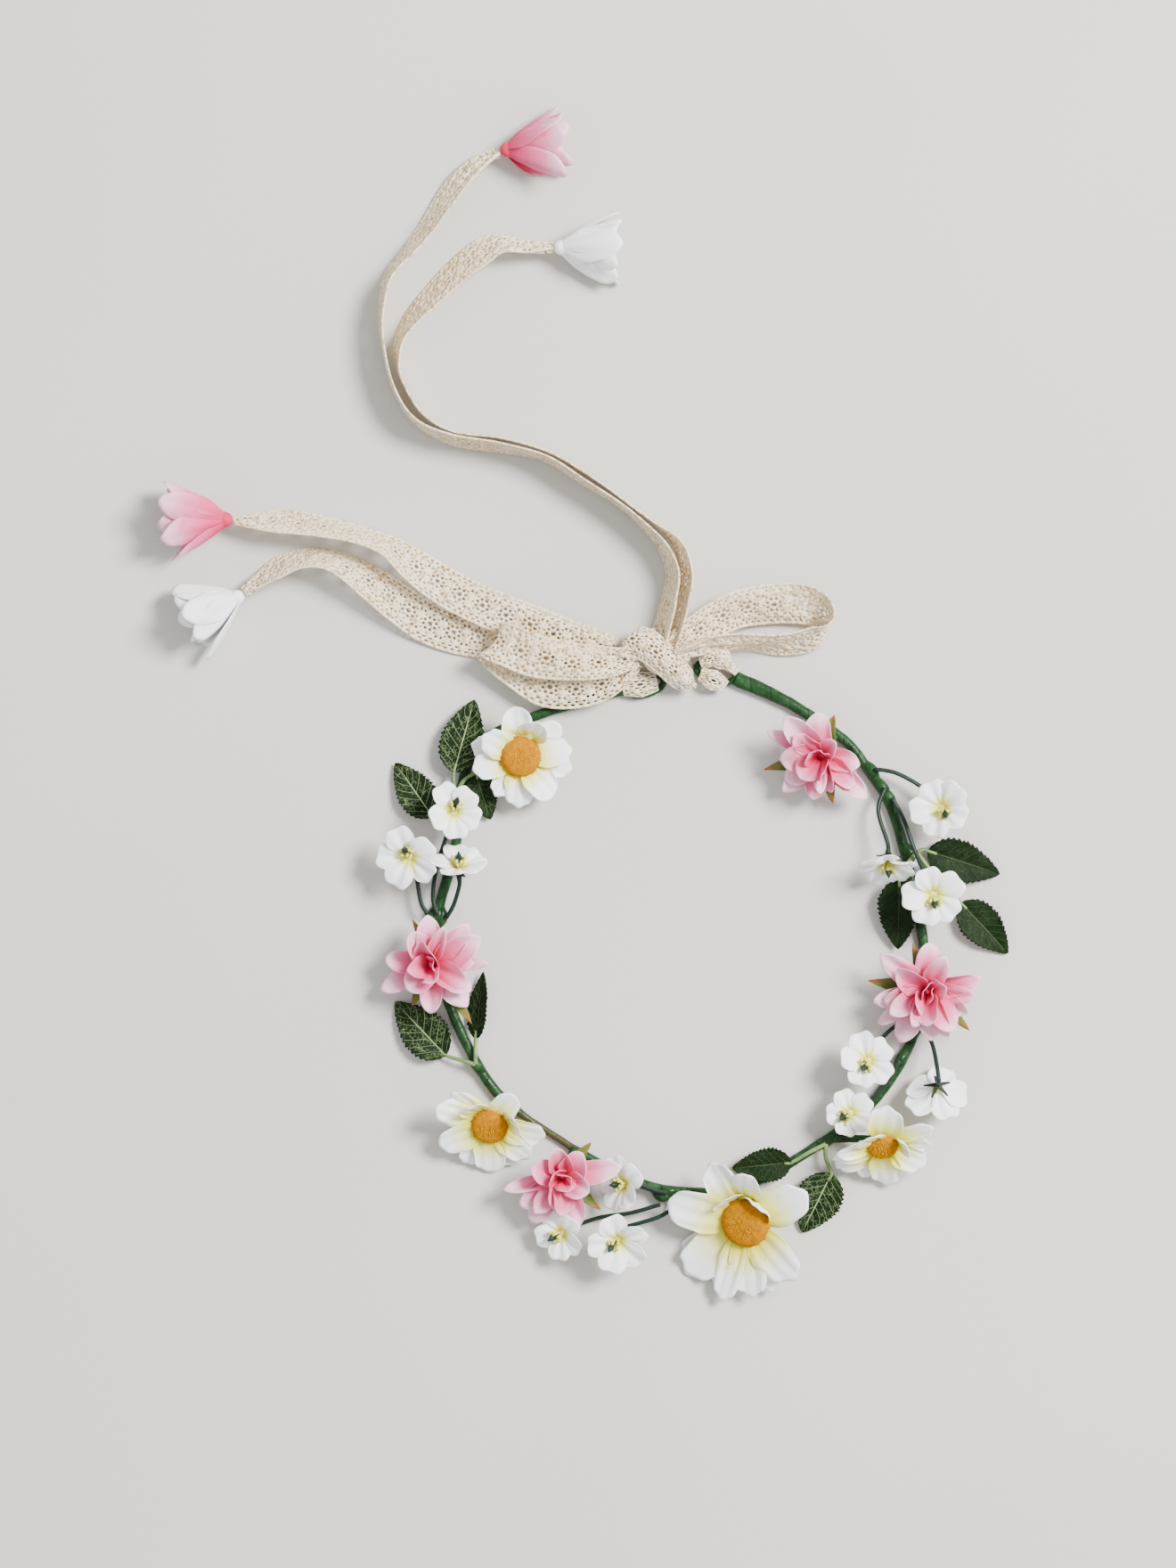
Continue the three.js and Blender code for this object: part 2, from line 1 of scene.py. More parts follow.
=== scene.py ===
"""The looks of the flower crown: a taped wire hoop with silk flowers and leaves, tied by a lace bow.

Shapes are worked out in millimetres in the frame of the CAD model and turned into metres as a mesh is made.
"""

import json
import math

import bmesh
import bpy
import numpy as np
from mathutils.geometry import delaunay_2d_cdt
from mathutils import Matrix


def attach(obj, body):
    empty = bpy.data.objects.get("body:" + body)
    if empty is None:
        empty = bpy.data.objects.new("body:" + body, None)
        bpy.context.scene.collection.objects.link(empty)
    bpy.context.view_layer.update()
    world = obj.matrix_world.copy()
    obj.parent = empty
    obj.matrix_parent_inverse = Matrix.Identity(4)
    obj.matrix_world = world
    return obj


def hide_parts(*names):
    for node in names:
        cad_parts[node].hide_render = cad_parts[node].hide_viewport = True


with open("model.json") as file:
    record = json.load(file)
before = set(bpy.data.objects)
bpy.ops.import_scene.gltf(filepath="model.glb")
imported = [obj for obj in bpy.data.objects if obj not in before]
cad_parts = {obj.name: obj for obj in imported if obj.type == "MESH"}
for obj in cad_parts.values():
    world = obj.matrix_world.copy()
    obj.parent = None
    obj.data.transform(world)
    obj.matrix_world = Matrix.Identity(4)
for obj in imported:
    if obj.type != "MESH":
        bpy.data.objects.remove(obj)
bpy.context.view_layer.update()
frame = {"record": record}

MM = 0.001
UP = np.array([0.0, 0.0, 1.0])
PLUS_Y = (0.0, 1.0, 0.0)

# ---- Camera: straight above the crown ----
VIEW_CENTRE = (-0.036, 0.0558)
VIEW_HEIGHT = 1.5
VIEW_LENGTH = 0.5456
SENSOR_WIDTH = 36.0

camera_data = bpy.data.cameras.new("camera")
camera_data.sensor_width = SENSOR_WIDTH
camera_data.lens = SENSOR_WIDTH * VIEW_HEIGHT / VIEW_LENGTH
camera = bpy.data.objects.new("camera", camera_data)
camera.location = (VIEW_CENTRE[0], VIEW_CENTRE[1], VIEW_HEIGHT)
bpy.context.scene.collection.objects.link(camera)
bpy.context.scene.camera = camera


# ---- Lines and frames ----
def through(points, count):
    """Points on the smooth curve through the given ones, at even steps of its parameter."""
    p = np.array(points, float)
    t = np.linspace(0, len(p) - 1, count)
    i = np.minimum(t.astype(int), len(p) - 2)
    w = (t - i)[:, None]
    p = np.vstack([2 * p[0] - p[1], p, 2 * p[-1] - p[-2]])
    a, b, c, d = p[i], p[i + 1], p[i + 2], p[i + 3]
    start, end = (c - a) / 2, (d - b) / 2
    return (
        (2 * w**3 - 3 * w**2 + 1) * b
        + (w**3 - 2 * w**2 + w) * start
        + (3 * w**2 - 2 * w**3) * c
        + (w**3 - w**2) * end
    )


def unit(v):
    return v / np.maximum(np.linalg.norm(v, axis=-1, keepdims=True), 1e-9)


def lengths(line):
    """The distance along a line at each of its points."""
    return np.concatenate([[0], np.cumsum(np.linalg.norm(np.diff(line, axis=0), axis=1))])


def at(line, where, along=None):
    """The points of a line at the given distances along it."""
    along = lengths(line) if along is None else along
    return np.stack([np.interp(where, along, line[:, k]) for k in range(line.shape[1])], axis=-1)


def evenly(line, step):
    long = lengths(line)[-1]
    return at(line, np.linspace(0, long, max(2, round(long / step) + 1)))


def turn_z(degrees):
    a = math.radians(degrees)
    return np.array([[math.cos(a), -math.sin(a), 0], [math.sin(a), math.cos(a), 0], [0, 0, 1]])


def turn_about(axis, degrees):
    x, y, z = unit(np.array(axis, float))
    a = math.radians(degrees)
    c, s = math.cos(a), math.sin(a)
    cross = np.array([[0, -z, y], [z, 0, -x], [-y, x, 0]])
    return c * np.eye(3) + s * cross + (1 - c) * np.outer([x, y, z], [x, y, z])


def attitude(facing, tilt, spin=0):
    """The rotation that turns +Z towards facing (degrees in plan) by tilt, after a spin about +Z."""
    f = math.radians(facing)
    return turn_about((-math.sin(f), math.cos(f), 0), tilt) @ turn_z(spin)


def leaning(lean, around):
    """The direction that leans from +Z by lean, towards around in plan, both in radians."""
    return np.array([math.cos(around) * math.sin(lean), math.sin(around) * math.sin(lean), math.cos(lean)])


# ---- Meshes ----
class Piece:
    """Shells and tubes collected into one mesh.

    Each point carries a mark for the materials: along, across and tint.
    """

    def __init__(self):
        self.points, self.faces, self.marks, self.kinds, self.count = [], [], [], [], 0

    def add(self, points, faces, marks, kind=0):
        self.points.append(points)
        self.marks.append(np.broadcast_to(marks, (len(points), 3)))
        self.faces += [tuple(i + self.count for i in face) for face in faces]
        self.kinds += [kind] * len(faces)
        self.count += len(points)

    def add_turned(self, line, sizes, sides, turn, base, mark=(0, 0, 0), kind=0, up=PLUS_Y):
        """Adds a tube given in a flower head's own frame, turned and moved with the head, with one mark."""
        points, faces, _ = tube(np.array(line), sizes, sides, up=up)
        self.add(points @ turn.T + base, faces, mark, kind)

    def build(self, name, materials, body, slot, *nodes, weld=False):
        mesh = bpy.data.meshes.new(name)
        mesh.from_pydata((np.concatenate(self.points) * MM).tolist(), [], self.faces)
        mark = mesh.attributes.new("mark", "FLOAT_VECTOR", "POINT")
        mark.data.foreach_set("vector", np.concatenate(self.marks).astype(np.float32).ravel())
        for material in materials:
            mesh.materials.append(material)
        mesh.polygons.foreach_set("material_index", self.kinds)
        mesh.polygons.foreach_set("use_smooth", [True] * len(mesh.polygons))
        if weld:
            soft = bmesh.new()
            soft.from_mesh(mesh)
            bmesh.ops.remove_doubles(soft, verts=soft.verts, dist=2e-6)
            soft.to_mesh(mesh)
            soft.free()
        mesh.update()
        made = bpy.data.objects.new(name, mesh)
        bpy.context.scene.collection.objects.link(made)
        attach(made, body)
        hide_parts(*nodes)
        return made


def grid_faces(rows, cols, first=0, flip=False):
    index = first + np.arange(rows * cols).reshape(rows, cols)
    corners = [index[:-1, :-1], index[:-1, 1:], index[1:, 1:], index[1:, :-1]]
    quads = np.stack(corners, axis=-1).reshape(-1, 4)
    return (quads[:, ::-1] if flip else quads).tolist()


def shell(grid, thickness):
    """A closed thin shell on a grid of points, its front where the grid's rows and columns turn left."""
    rows, cols = grid.shape[:2]
    along = np.gradient(grid, axis=0)
    across = np.gradient(grid, axis=1)
    half = unit(np.cross(across, along)) * thickness / 2
    points = np.stack([grid + half, grid - half]).reshape(-1, 3)
    n = rows * cols
    faces = grid_faces(rows, cols) + grid_faces(rows, cols, n, True)
    index = np.arange(n).reshape(rows, cols)
    ring = np.concatenate([index[0, :], index[1:, -1], index[-1, -2::-1], index[-2:0:-1, 0]])
    after = np.roll(ring, -1)
    faces += np.stack([after, ring, ring + n, after + n], axis=1).tolist()
    return points, faces


def tube(line, radius, sides=8, up=UP, flat=1.0, wave=None):
    """A closed tube on a line. radius is one number or one a point, flat its height over its width."""
    n = len(line)
    along = unit(np.gradient(line, axis=0))
    side = unit(np.cross(along, np.broadcast_to(up, (n, 3))))
    top = np.cross(side, along)
    angle = np.linspace(0, 2 * math.pi, sides, endpoint=False)
    r = np.broadcast_to(radius, n)[:, None] * np.ones(sides)
    if wave is not None:
        r = r * wave(lengths(line)[:, None], angle[None, :])
    f = np.broadcast_to(flat, n)[:, None, None]
    ring = line[:, None] + r[..., None] * (
        side[:, None] * np.cos(angle)[None, :, None] + f * top[:, None] * np.sin(angle)[None, :, None]
    )
    points = np.vstack([ring.reshape(-1, 3), line[:1], line[-1:]])
    index = np.arange(n * sides).reshape(n, sides)
    after = np.roll(index, -1, axis=1)
    faces = np.stack([index[:-1], index[1:], after[1:], after[:-1]], axis=-1).reshape(-1, 4).tolist()
    faces += [(int(a), int(b), n * sides) for a, b in zip(index[0], after[0])]
    faces += [(int(b), int(a), n * sides + 1) for a, b in zip(index[-1], after[-1])]
    marks = np.zeros((len(points), 3))
    marks[: n * sides, 0] = np.repeat(lengths(line), sides)
    marks[: n * sides, 1] = np.tile(angle / (2 * math.pi), n)
    marks[-1, 0] = lengths(line)[-1]
    return points, faces, marks


# ---- Materials ----
class Shader:
    """A Principled material and short ways to feed it."""

    def __init__(self, name, **values):
        self.material = bpy.data.materials.new(name)
        self.material.use_nodes = True
        self.tree = self.material.node_tree
        self.main = self.tree.nodes["Principled BSDF"]
        for key, value in values.items():
            self.main.inputs[key.replace("_", " ")].default_value = value
        mark = self.node("Attribute", attribute_name="mark")
        parts = self.node("SeparateXYZ", Vector=mark.outputs["Vector"])
        self.along, self.across, self.tint = parts.outputs
        self.place = self.node("TexCoord").outputs["Object"]

    def node(self, kind, **settings):
        made = self.tree.nodes.new("ShaderNode" + kind)
        for key, value in settings.items():
            if key in made.inputs:
                self.feed(made.inputs[key], value)
            else:
                setattr(made, key, value)
        return made

    def feed(self, socket, value):
        if isinstance(value, bpy.types.NodeSocket):
            self.tree.links.new(value, socket)
        else:
            socket.default_value = value

    def math(self, operation, a, b=0.0):
        made = self.node("Math", operation=operation)
        self.feed(made.inputs[0], a)
        self.feed(made.inputs[1], b)
        return made.outputs[0]

    def times(self, a, b):
        return self.math("MULTIPLY", a, b)

    def plus(self, a, b):
        return self.math("ADD", a, b)

    def minus(self, a, b):
        return self.math("SUBTRACT", a, b)

    def between(self, value, low, high, smooth=True):
        blend = "SMOOTHSTEP" if smooth else "LINEAR"
        made = self.node("MapRange", clamp=True, interpolation_type=blend)
        self.feed(made.inputs["Value"], value)
        self.feed(made.inputs["From Min"], low)
        self.feed(made.inputs["From Max"], high)
        return made.outputs["Result"]

    def ramp(self, value, *stops):
        made = self.node("ValToRGB", Fac=value)
        elements = made.color_ramp.elements
        for _ in stops[2:]:
            elements.new(0.5)
        for element, (where, color) in zip(elements, stops):
            element.position = where
            element.color = (*color, 1)
        return made.outputs["Color"]

    def mix(self, share, a, b):
        made = self.node("Mix", data_type="RGBA")
        self.feed(made.inputs[0], share)
        for socket, value in ((made.inputs[6], a), (made.inputs[7], b)):
            self.feed(socket, value if isinstance(value, bpy.types.NodeSocket) else (*value, 1))
        return made.outputs[2]

    def noise(self, scale, detail=3.0, roughness=0.55):
        made = self.node("TexNoise", Vector=self.place, Scale=scale, Detail=detail, Roughness=roughness)
        return made.outputs[0]

    def waves(self, value, count):
        """A smooth wave from 0 to 1, count times over each whole step of value."""
        turned = self.times(value, 2 * math.pi * count)
        return self.math("MULTIPLY_ADD", self.math("SINE", turned), 0.5)

    def bump(self, height, distance, strength=1.0, under=None):
        made = self.node("Bump", Height=height, Distance=distance, Strength=strength)
        if under is not None:
            self.feed(made.inputs["Normal"], under)
        return made.outputs["Normal"]

    def finish(self, color, normal, roughness=None):
        self.feed(self.main.inputs["Base Color"], color)
        self.feed(self.main.inputs["Normal"], normal)
        if roughness is not None:
            self.feed(self.main.inputs["Roughness"], roughness)
        return self.material


# Numbers that a material and the shape under it share.
TAPE_LAP = 7.5
LEAF_SWEEP, LEAF_VEINS = 0.26, 8.0


def weave(shader, distance=0.00006):
    """The fine cloth grain of pressed silk."""
    return shader.bump(shader.noise(3200.0, 2.0, 0.7), distance, 0.5)


def speckled(name, roughness, scale, low, high, fine, distance, spread=0.2, specular=0.5, seamed=False):
    """Two tones in blotches, with a fine grain; seamed is for a stem moulded in two halves."""
    s = Shader(name, Roughness=roughness, Specular_IOR_Level=specular)
    tone = s.ramp(s.noise(scale), (0.5 - spread, low), (0.5 + spread, high))
    seam = s.bump(s.waves(s.across, 2), 0.0002, 0.5) if seamed else None
    return s.finish(tone, s.bump(s.noise(fine), distance, 0.5, seam))


def silk(name, roughness, radius):
    return Shader(
        name, Roughness=roughness, Subsurface_Weight=0.12, Subsurface_Scale=0.002,
        Specular_IOR_Level=0.25, Subsurface_Radius=radius,
    )


def tape_material():
    """Crumpled paper tape wound in laps, with painted shade along the step of each lap; tint is how brown
    it is.
    """
    s = Shader("tape", Roughness=0.75, Specular_IOR_Level=0.12)
    blotch = s.noise(260.0, 4.0)
    drawn = s.node("Mapping", Vector=s.place, Scale=(1, 1, 3)).outputs[0]
    crease = s.node("TexNoise", Vector=drawn, Scale=900.0, Detail=3.0).outputs[0]
    dark, middle, pale = (0.007, 0.026, 0.007), (0.013, 0.045, 0.013), (0.030, 0.080, 0.026)
    tone = s.ramp(blotch, (0.3, dark), (0.55, middle), (0.75, pale))
    spiral = s.math("FRACT", s.plus(s.math("DIVIDE", s.along, TAPE_LAP), s.across))
    # painted shade: a dark green line along the step where each lap of tape starts
    shade = s.mix(s.between(spiral, 0.0, 0.12), (0.004, 0.016, 0.005), tone)
    color = s.mix(s.tint, shade, (0.05, 0.045, 0.017))
    lap = s.bump(spiral, 0.0003, 0.6)
    return s.finish(color, s.bump(crease, 0.00025, 0.6, lap), s.between(blotch, 0.1, 1.4, False))


def leaf_material():
    """Printed leaf cloth: a midrib, side veins swept to the tip, and a net, as pale as tint says."""
    s = Shader("leaf", Roughness=0.6, Specular_IOR_Level=0.08)
    wide = s.math("ABSOLUTE", s.across)
    sweep = s.minus(s.along, s.times(wide, LEAF_SWEEP))
    comb = s.math("ABSOLUTE", s.minus(s.math("FRACT", s.times(sweep, LEAF_VEINS)), 0.5))
    side = s.between(comb, 0.040, 0.010)
    rib = s.between(wide, 0.040, 0.014)
    cells = s.node("TexVoronoi", Vector=s.place, Scale=760.0, feature="DISTANCE_TO_EDGE")
    patchy = s.between(s.noise(380.0, 2.0), 0.40, 0.62)
    web = s.times(s.between(cells.outputs["Distance"], 0.065, 0.020), patchy)
    veins = s.math("MAXIMUM", rib, s.math("MAXIMUM", s.times(side, 0.8), s.times(web, 0.45)))
    inner = s.between(wide, 1.0, 0.8)
    shown = s.times(s.times(veins, s.tint), inner)
    green = s.ramp(s.noise(120.0, 4.0), (0.3, (0.002, 0.008, 0.0014)), (0.7, (0.005, 0.016, 0.003)))
    raised = s.bump(s.math("MAXIMUM", rib, side), 0.0003, 0.7)
    color = s.mix(shown, green, (0.30, 0.38, 0.17))
    return s.finish(color, s.bump(s.noise(2600.0, 2.0), 0.00008, 0.5, raised))


def white_material():
    """White silk with a yellow to green flush at the base; tint is how far the flush reaches."""
    s = silk("white_silk", 0.72, (1.0, 1.0, 0.8))
    start = s.plus(s.along, s.minus(s.times(s.noise(240.0, 2.0), 0.14), 0.07))
    reach = s.math("DIVIDE", start, s.math("MAXIMUM", s.tint, 0.02))
    yellow, lemon, cream = (0.50, 0.38, 0.008), (0.68, 0.63, 0.06), (0.82, 0.81, 0.32)
    flush = s.ramp(reach, (0.12, yellow), (0.32, lemon), (0.62, cream))
    dull = s.ramp(s.noise(90.0, 2.0), (0.35, (0.84, 0.85, 0.86)), (0.7, (0.90, 0.90, 0.90)))
    return s.finish(s.mix(s.between(reach, 1.0, 0.5), dull, flush), weave(s))


def pink_material():
    """Pink silk, deep at the base and almost white at the rim; tint shifts a petal paler or deeper."""
    s = silk("pink_silk", 0.7, (1.0, 0.5, 0.5))
    uneven = s.times(s.noise(260.0, 3.0), 0.3)
    where = s.plus(s.plus(s.along, s.tint), s.minus(uneven, 0.15))
    rim = s.times(s.math("POWER", s.math("ABSOLUTE", s.across), 3.0), 0.16)
    color = s.ramp(
        s.plus(where, rim),
        (0.10, (0.56, 0.018, 0.075)),
        (0.40, (0.66, 0.065, 0.165)),
        (0.70, (0.72, 0.17, 0.30)),
        (0.98, (0.80, 0.46, 0.56)),
    )
    return s.finish(color, weave(s))


def sepal_material():
    """Green at the base of a sepal and rusty at its tip."""
    s = Shader("sepal", Roughness=0.6, Specular_IOR_Level=0.15)
    where = s.plus(s.times(s.along, 0.7), s.times(s.noise(300.0), 0.35))
    green, olive, rust = (0.04, 0.085, 0.012), (0.13, 0.135, 0.026), (0.25, 0.085, 0.022)
    return s.finish(s.ramp(where, (0.50, green), (0.72, olive), (0.88, rust)), weave(s, 0.0001))


def disc_material():
    """Golden flock, painted darker between its fibres than at their tips as painted shade."""
    s = Shader("flock", Roughness=0.95, Specular_IOR_Level=0.04)
    where = s.plus(s.along, s.times(s.noise(700.0, 2.0), 0.4))
    # painted shade: dark brown where the along mark is low, at the dome and the fibre roots
    color = s.ramp(where, (0.35, (0.28, 0.095, 0.0)), (0.65, (0.50, 0.22, 0.0)), (0.95, (0.66, 0.36, 0.0)))
    return s.finish(color, s.bump(s.noise(2600.0), 0.0002, 0.6))


def lace_material():
    """Cotton thread worked close together, painted a little browner in its hollows as painted shade."""
    s = Shader(
        "lace", Roughness=0.88, Sheen_Weight=0.15, Specular_IOR_Level=0.15,
        Subsurface_Weight=0.08, Subsurface_Scale=0.002, Subsurface_Radius=(1.0, 0.75, 0.5),
    )
    cells = s.node("TexVoronoi", Vector=s.place, Scale=950.0, feature="SMOOTH_F1")
    stitch = cells.outputs["Distance"]
    strand = s.times(s.waves(s.across, 14), s.waves(s.along, 0.9))
    relief = s.plus(s.times(stitch, 0.7), s.times(strand, 0.35))
    tone = s.ramp(s.noise(70.0, 3.0), (0.3, (0.74, 0.61, 0.40)), (0.7, (0.82, 0.72, 0.54)))
    # painted shade: tan brown mixed in away from the middle of each stitch cell
    color = s.mix(s.between(stitch, 0.3, 0.8), tone, (0.46, 0.30, 0.13))
    return s.finish(color, s.bump(relief, 0.0004, 0.8))


TAPE = tape_material()
STEM = speckled(
    "stem", 0.42, 500.0, (0.006, 0.016, 0.010), (0.012, 0.028, 0.018), 1400.0, 0.00012,
    specular=0.2, seamed=True,
)
STALK = speckled("stalk", 0.45, 320.0, (0.07, 0.13, 0.03), (0.17, 0.25, 0.08), 1400.0, 0.00012)
LEAF = leaf_material()
WHITE = white_material()
PINK = pink_material()
SEPAL = sepal_material()
FLOCK = disc_material()
STAMEN = speckled("stamen", 0.6, 900.0, (0.50, 0.48, 0.07), (0.66, 0.62, 0.18), 2500.0, 0.0001, spread=0.15)
LACE = lace_material()


# ---- Lace: a net of thread with holes, repeated along a ribbon ----
RIBBON_WIDTH = 15.0
LACE_TILE = 9.0
LACE_THICKNESS = 0.7
HOLE_SIDES = 7
EDGE_WAVE, EDGE_WAVES = 0.16, 12
PLEAT_DEPTH = 1.9


def lace_holes():
    """The holes of one repeat as [x, y, half length, half width]."""
    holes = [[x, y, 0.72, 0.33] for x in (1.05, 3.35, 5.65, 7.95) for y in (-6.15, 6.15)]
    holes += [[x, y, 0.62, 0.34] for x in (2.2, 4.5, 6.8) for y in (-4.95, 4.95)]
    holes += [[4.5, 0.0, 0.95, 0.82]]
    for k in range(8):
        a = math.radians(22.5 + 45 * k)
        holes.append([4.5 + 2.35 * math.cos(a), 2.15 * math.sin(a), 0.62, 0.54])
    for k in range(8):
        a = math.radians(45 * k)
        holes.append([4.5 + 3.55 * math.cos(a), 3.5 * math.sin(a), 0.36, 0.36])
    holes += [[x, y, 0.5, 0.55] for x in (0.85, 8.15) for y in (-3.4, 3.4)]
    return holes


def lace_tile():
    """One repeat as flat points, the triangles between its holes, and its rim edges."""
    points, edges = [], []

    def ring(outline):
        first = len(points)
        points.extend(outline)
        edges.extend((first + k, first + (k + 1) % len(outline)) for k in range(len(outline)))

    holes = lace_holes()
    steps = np.linspace(0, LACE_TILE, 13)
    edge_y = RIBBON_WIDTH / 2 - EDGE_WAVE * (1 - np.cos(steps / LACE_TILE * EDGE_WAVES * math.pi)) / 2
    ends = [-5.7, -4.3, -2.6, -0.9, 0.9, 2.6, 4.3, 5.7]
    outline = [(x, -y) for x, y in zip(steps, edge_y)]
    outline += [(LACE_TILE, y) for y in ends]
    outline += [(x, y) for x, y in zip(steps[::-1], edge_y[::-1])]
    outline += [(0.0, y) for y in ends[::-1]]
    ring(outline)
    for x, y, a, b in holes:
        turn = np.arange(HOLE_SIDES) * 2 * math.pi / HOLE_SIDES + x
        ring([(x + a * math.cos(t), y + b * math.sin(t)) for t in turn])
    found = delaunay_2d_cdt(points, edges, [], 0, 1e-6)
    flat = np.array([[p[0], p[1]] for p in found[0]])
    faces = []
    for face in found[2]:
        mx, my = flat[list(face)].mean(0)
        in_hole = any(((mx - x) / a) ** 2 + ((my - y) / b) ** 2 < 0.8 for x, y, a, b in holes)
        if not in_hole and abs(my) < RIBBON_WIDTH / 2 - 0.05:
            faces.append(tuple(face))
    used = {(face[k], face[(k + 1) % 3]): True for face in faces for k in range(3)}
    rim = [
        (a, b)
        for a, b in used
        if (b, a) not in used
        and not (abs(flat[a, 0] - flat[b, 0]) < 1e-6 and min(flat[a, 0], LACE_TILE - flat[a, 0]) < 1e-6)
    ]
    return flat, faces, rim


def near_row(place, breadth):
    """How near each point of the tile is to the two thick rows of stitches at +-place."""
    return np.exp(-(((np.abs(TILE_POINTS[:, 1]) - place) / breadth) ** 2))


TILE_POINTS, TILE_FACES, TILE_RIM = lace_tile()
TILE_HALF = LACE_THICKNESS / 2 * (0.75 + 0.45 * near_row(6.95, 0.45) + 0.3 * near_row(4.35, 0.3))


def strip_frame(route, count=400):
    """A strip's centreline, side and normal, from route points [x, y, z, side x, side y, side z]."""
    both = through(route, count)
    line, side = both[:, :3], both[:, 3:]
    along = unit(np.gradient(line, axis=0))
    side = unit(side - (side * along).sum(1, keepdims=True) * along)
    return line, side, np.cross(along, side)


def lying(points, width, thickness):
    """The route of a strip that lies on the table, from [x, y, bank, lift]: bank turns it onto its edge."""
    route = []
    for i, (x, y, bank, *lift) in enumerate(points):
        before, after = points[max(i - 1, 0)], points[min(i + 1, len(points) - 1)]
        heading = math.atan2(after[1] - before[1], after[0] - before[0])
        lean = math.radians(bank)
        z = (lift or [0])[0] + width / 2 * abs(math.sin(lean)) + thickness / 2 * math.cos(lean)
        flat = math.cos(lean)
        route.append([x, y, z, -math.sin(heading) * flat, math.cos(heading) * flat, math.sin(lean)])
    return route


def lace_strip(piece, route, width, gather, crown=0.0, pleats=2.5, ripple=0.5, seed=0.0):
    """Lace along a route. gather is its width's share at fractions of its length, taken up in pleats,
    and crown is how far its edges turn back from its middle."""
    line, side, normal = strip_frame(route)
    along = lengths(line)
    repeats = max(1, round(along[-1] / LACE_TILE))
    stretch = along[-1] / (repeats * LACE_TILE)
    n = len(TILE_POINTS)
    faces = list(TILE_FACES) + [(c + n, b + n, a + n) for a, b, c in TILE_FACES]
    faces += [(b, a, a + n, b + n) for a, b in TILE_RIM]
    for k in range(repeats):
        x = (TILE_POINTS[:, 0] + k * LACE_TILE) * stretch
        y = TILE_POINTS[:, 1] * width / RIBBON_WIDTH
        share = np.interp(x / along[-1], *zip(*gather))
        wave = np.cos(y / RIBBON_WIDTH * 2 * math.pi * pleats + seed)
        depth = PLEAT_DEPTH * (1 - share) * wave + ripple * 0.35 * np.sin(x / 6.1 + seed + y * 0.35)
        depth = depth + crown * (y / (width / 2)) ** 2
        middle = at(line, x, along) + at(side, x, along) * (y * share)[:, None]
        out = unit(at(normal, x, along))
        middle = middle + out * depth[:, None]
        middle[:, 2] = np.maximum(middle[:, 2], LACE_THICKNESS)
        half = out * TILE_HALF[:, None]
        marks = np.stack([np.tile(x, 2), np.tile(y / RIBBON_WIDTH, 2), np.zeros(2 * n)], axis=1)
        piece.add(np.concatenate([middle + half, middle - half]), faces, marks)
    return line


# ---- Ribbon tails ----
TAILS = {
    "ribbon_tail_back_long": [
        [-12, 103.5, -60], [-10.5, 109.5, -64], [-8, 120, -68], [-6.5, 128.5, -72], [-9.5, 137, -78],
        [-17, 145.5, -85], [-26.5, 153.5, -86], [-37.5, 160.5, -86], [-51, 168.5, -85], [-67, 172.5, -80],
        [-83.5, 175, -80], [-96, 181.5, -85], [-103.5, 193.5, -87], [-107, 207.5, -86], [-107.5, 220, -80],
        [-105, 232, -75], [-98, 241, -68], [-91.5, 249, -62], [-86, 257.5, -58], [-80, 265.5, -52],
        [-73, 271.5, -50], [-66.5, 274.5, -54],
    ],
    "ribbon_tail_back_short": [
        [-8, 103.5, -60], [-6, 109.5, -64], [-3.5, 119, -68], [-2, 128, -72], [-5, 138.5, -78],
        [-13.8, 146.9, -92], [-23.9, 154.6, -94], [-35.2, 162.4, -94], [-49, 170.8, -94],
        [-65.7, 175.4, -94], [-81.9, 177.8, -94], [-93.3, 184.2, -92], [-100.4, 195.6, -90],
        [-102, 203.5, -80], [-101, 210, -73], [-96.5, 217.5, -64], [-89.5, 225.5, -56], [-82, 233, -50],
        [-73, 240, -46], [-66, 243, -52], [-57, 242, -54], [-48, 241.5, -56],
    ],
    "ribbon_tail_side_long": [
        [-27, 101, 0, 2.6], [-39, 104.5, 0, 2.8], [-54.5, 110.5, 4, 2.6], [-68.5, 116, 8, 2.2],
        [-79.5, 121, 14, 1.4], [-89, 126.5, 24, 0.6], [-97.5, 132.5, 40], [-106, 138.5, 58],
        [-116.5, 142.5, 62], [-127.5, 145, 58], [-140, 146.5, 54], [-150.5, 147, 54], [-158.5, 147.2, 58],
    ],
    "ribbon_tail_side_short": [
        [-27, 98.5, 0, 0.5], [-39, 100, 0, 0.3], [-54.5, 103.5, 0], [-68.5, 106, 0], [-81, 108, 2],
        [-92, 112, 6], [-101, 118, 18], [-110.5, 125, 34], [-118, 130, 50], [-126, 133.5, 60],
        [-135, 133.8, 60], [-144, 130.5, 56], [-150.5, 126, 54], [-155, 122.3, 58],
    ],
}
TAIL_GATHER = ((0, 0.75), (0.05, 0.95), (0.9, 1), (0.97, 0.6), (1, 0.3))
TAIL_THICKNESS = 1.0
TAIL_WIDTH = 14.6

tails, tail_lines = {}, {}
for number, (name, points) in enumerate(TAILS.items()):
    piece = Piece()
    route = lying(points, RIBBON_WIDTH, TAIL_THICKNESS)
    tail_lines[name] = lace_strip(piece, route, TAIL_WIDTH, TAIL_GATHER, seed=1.7 * number)
    tails[name] = piece.build(name + "_lace", [LACE], "hoop", "lace", name, weld=True)


# ---- Petals ----
RISE_STEPS = 59


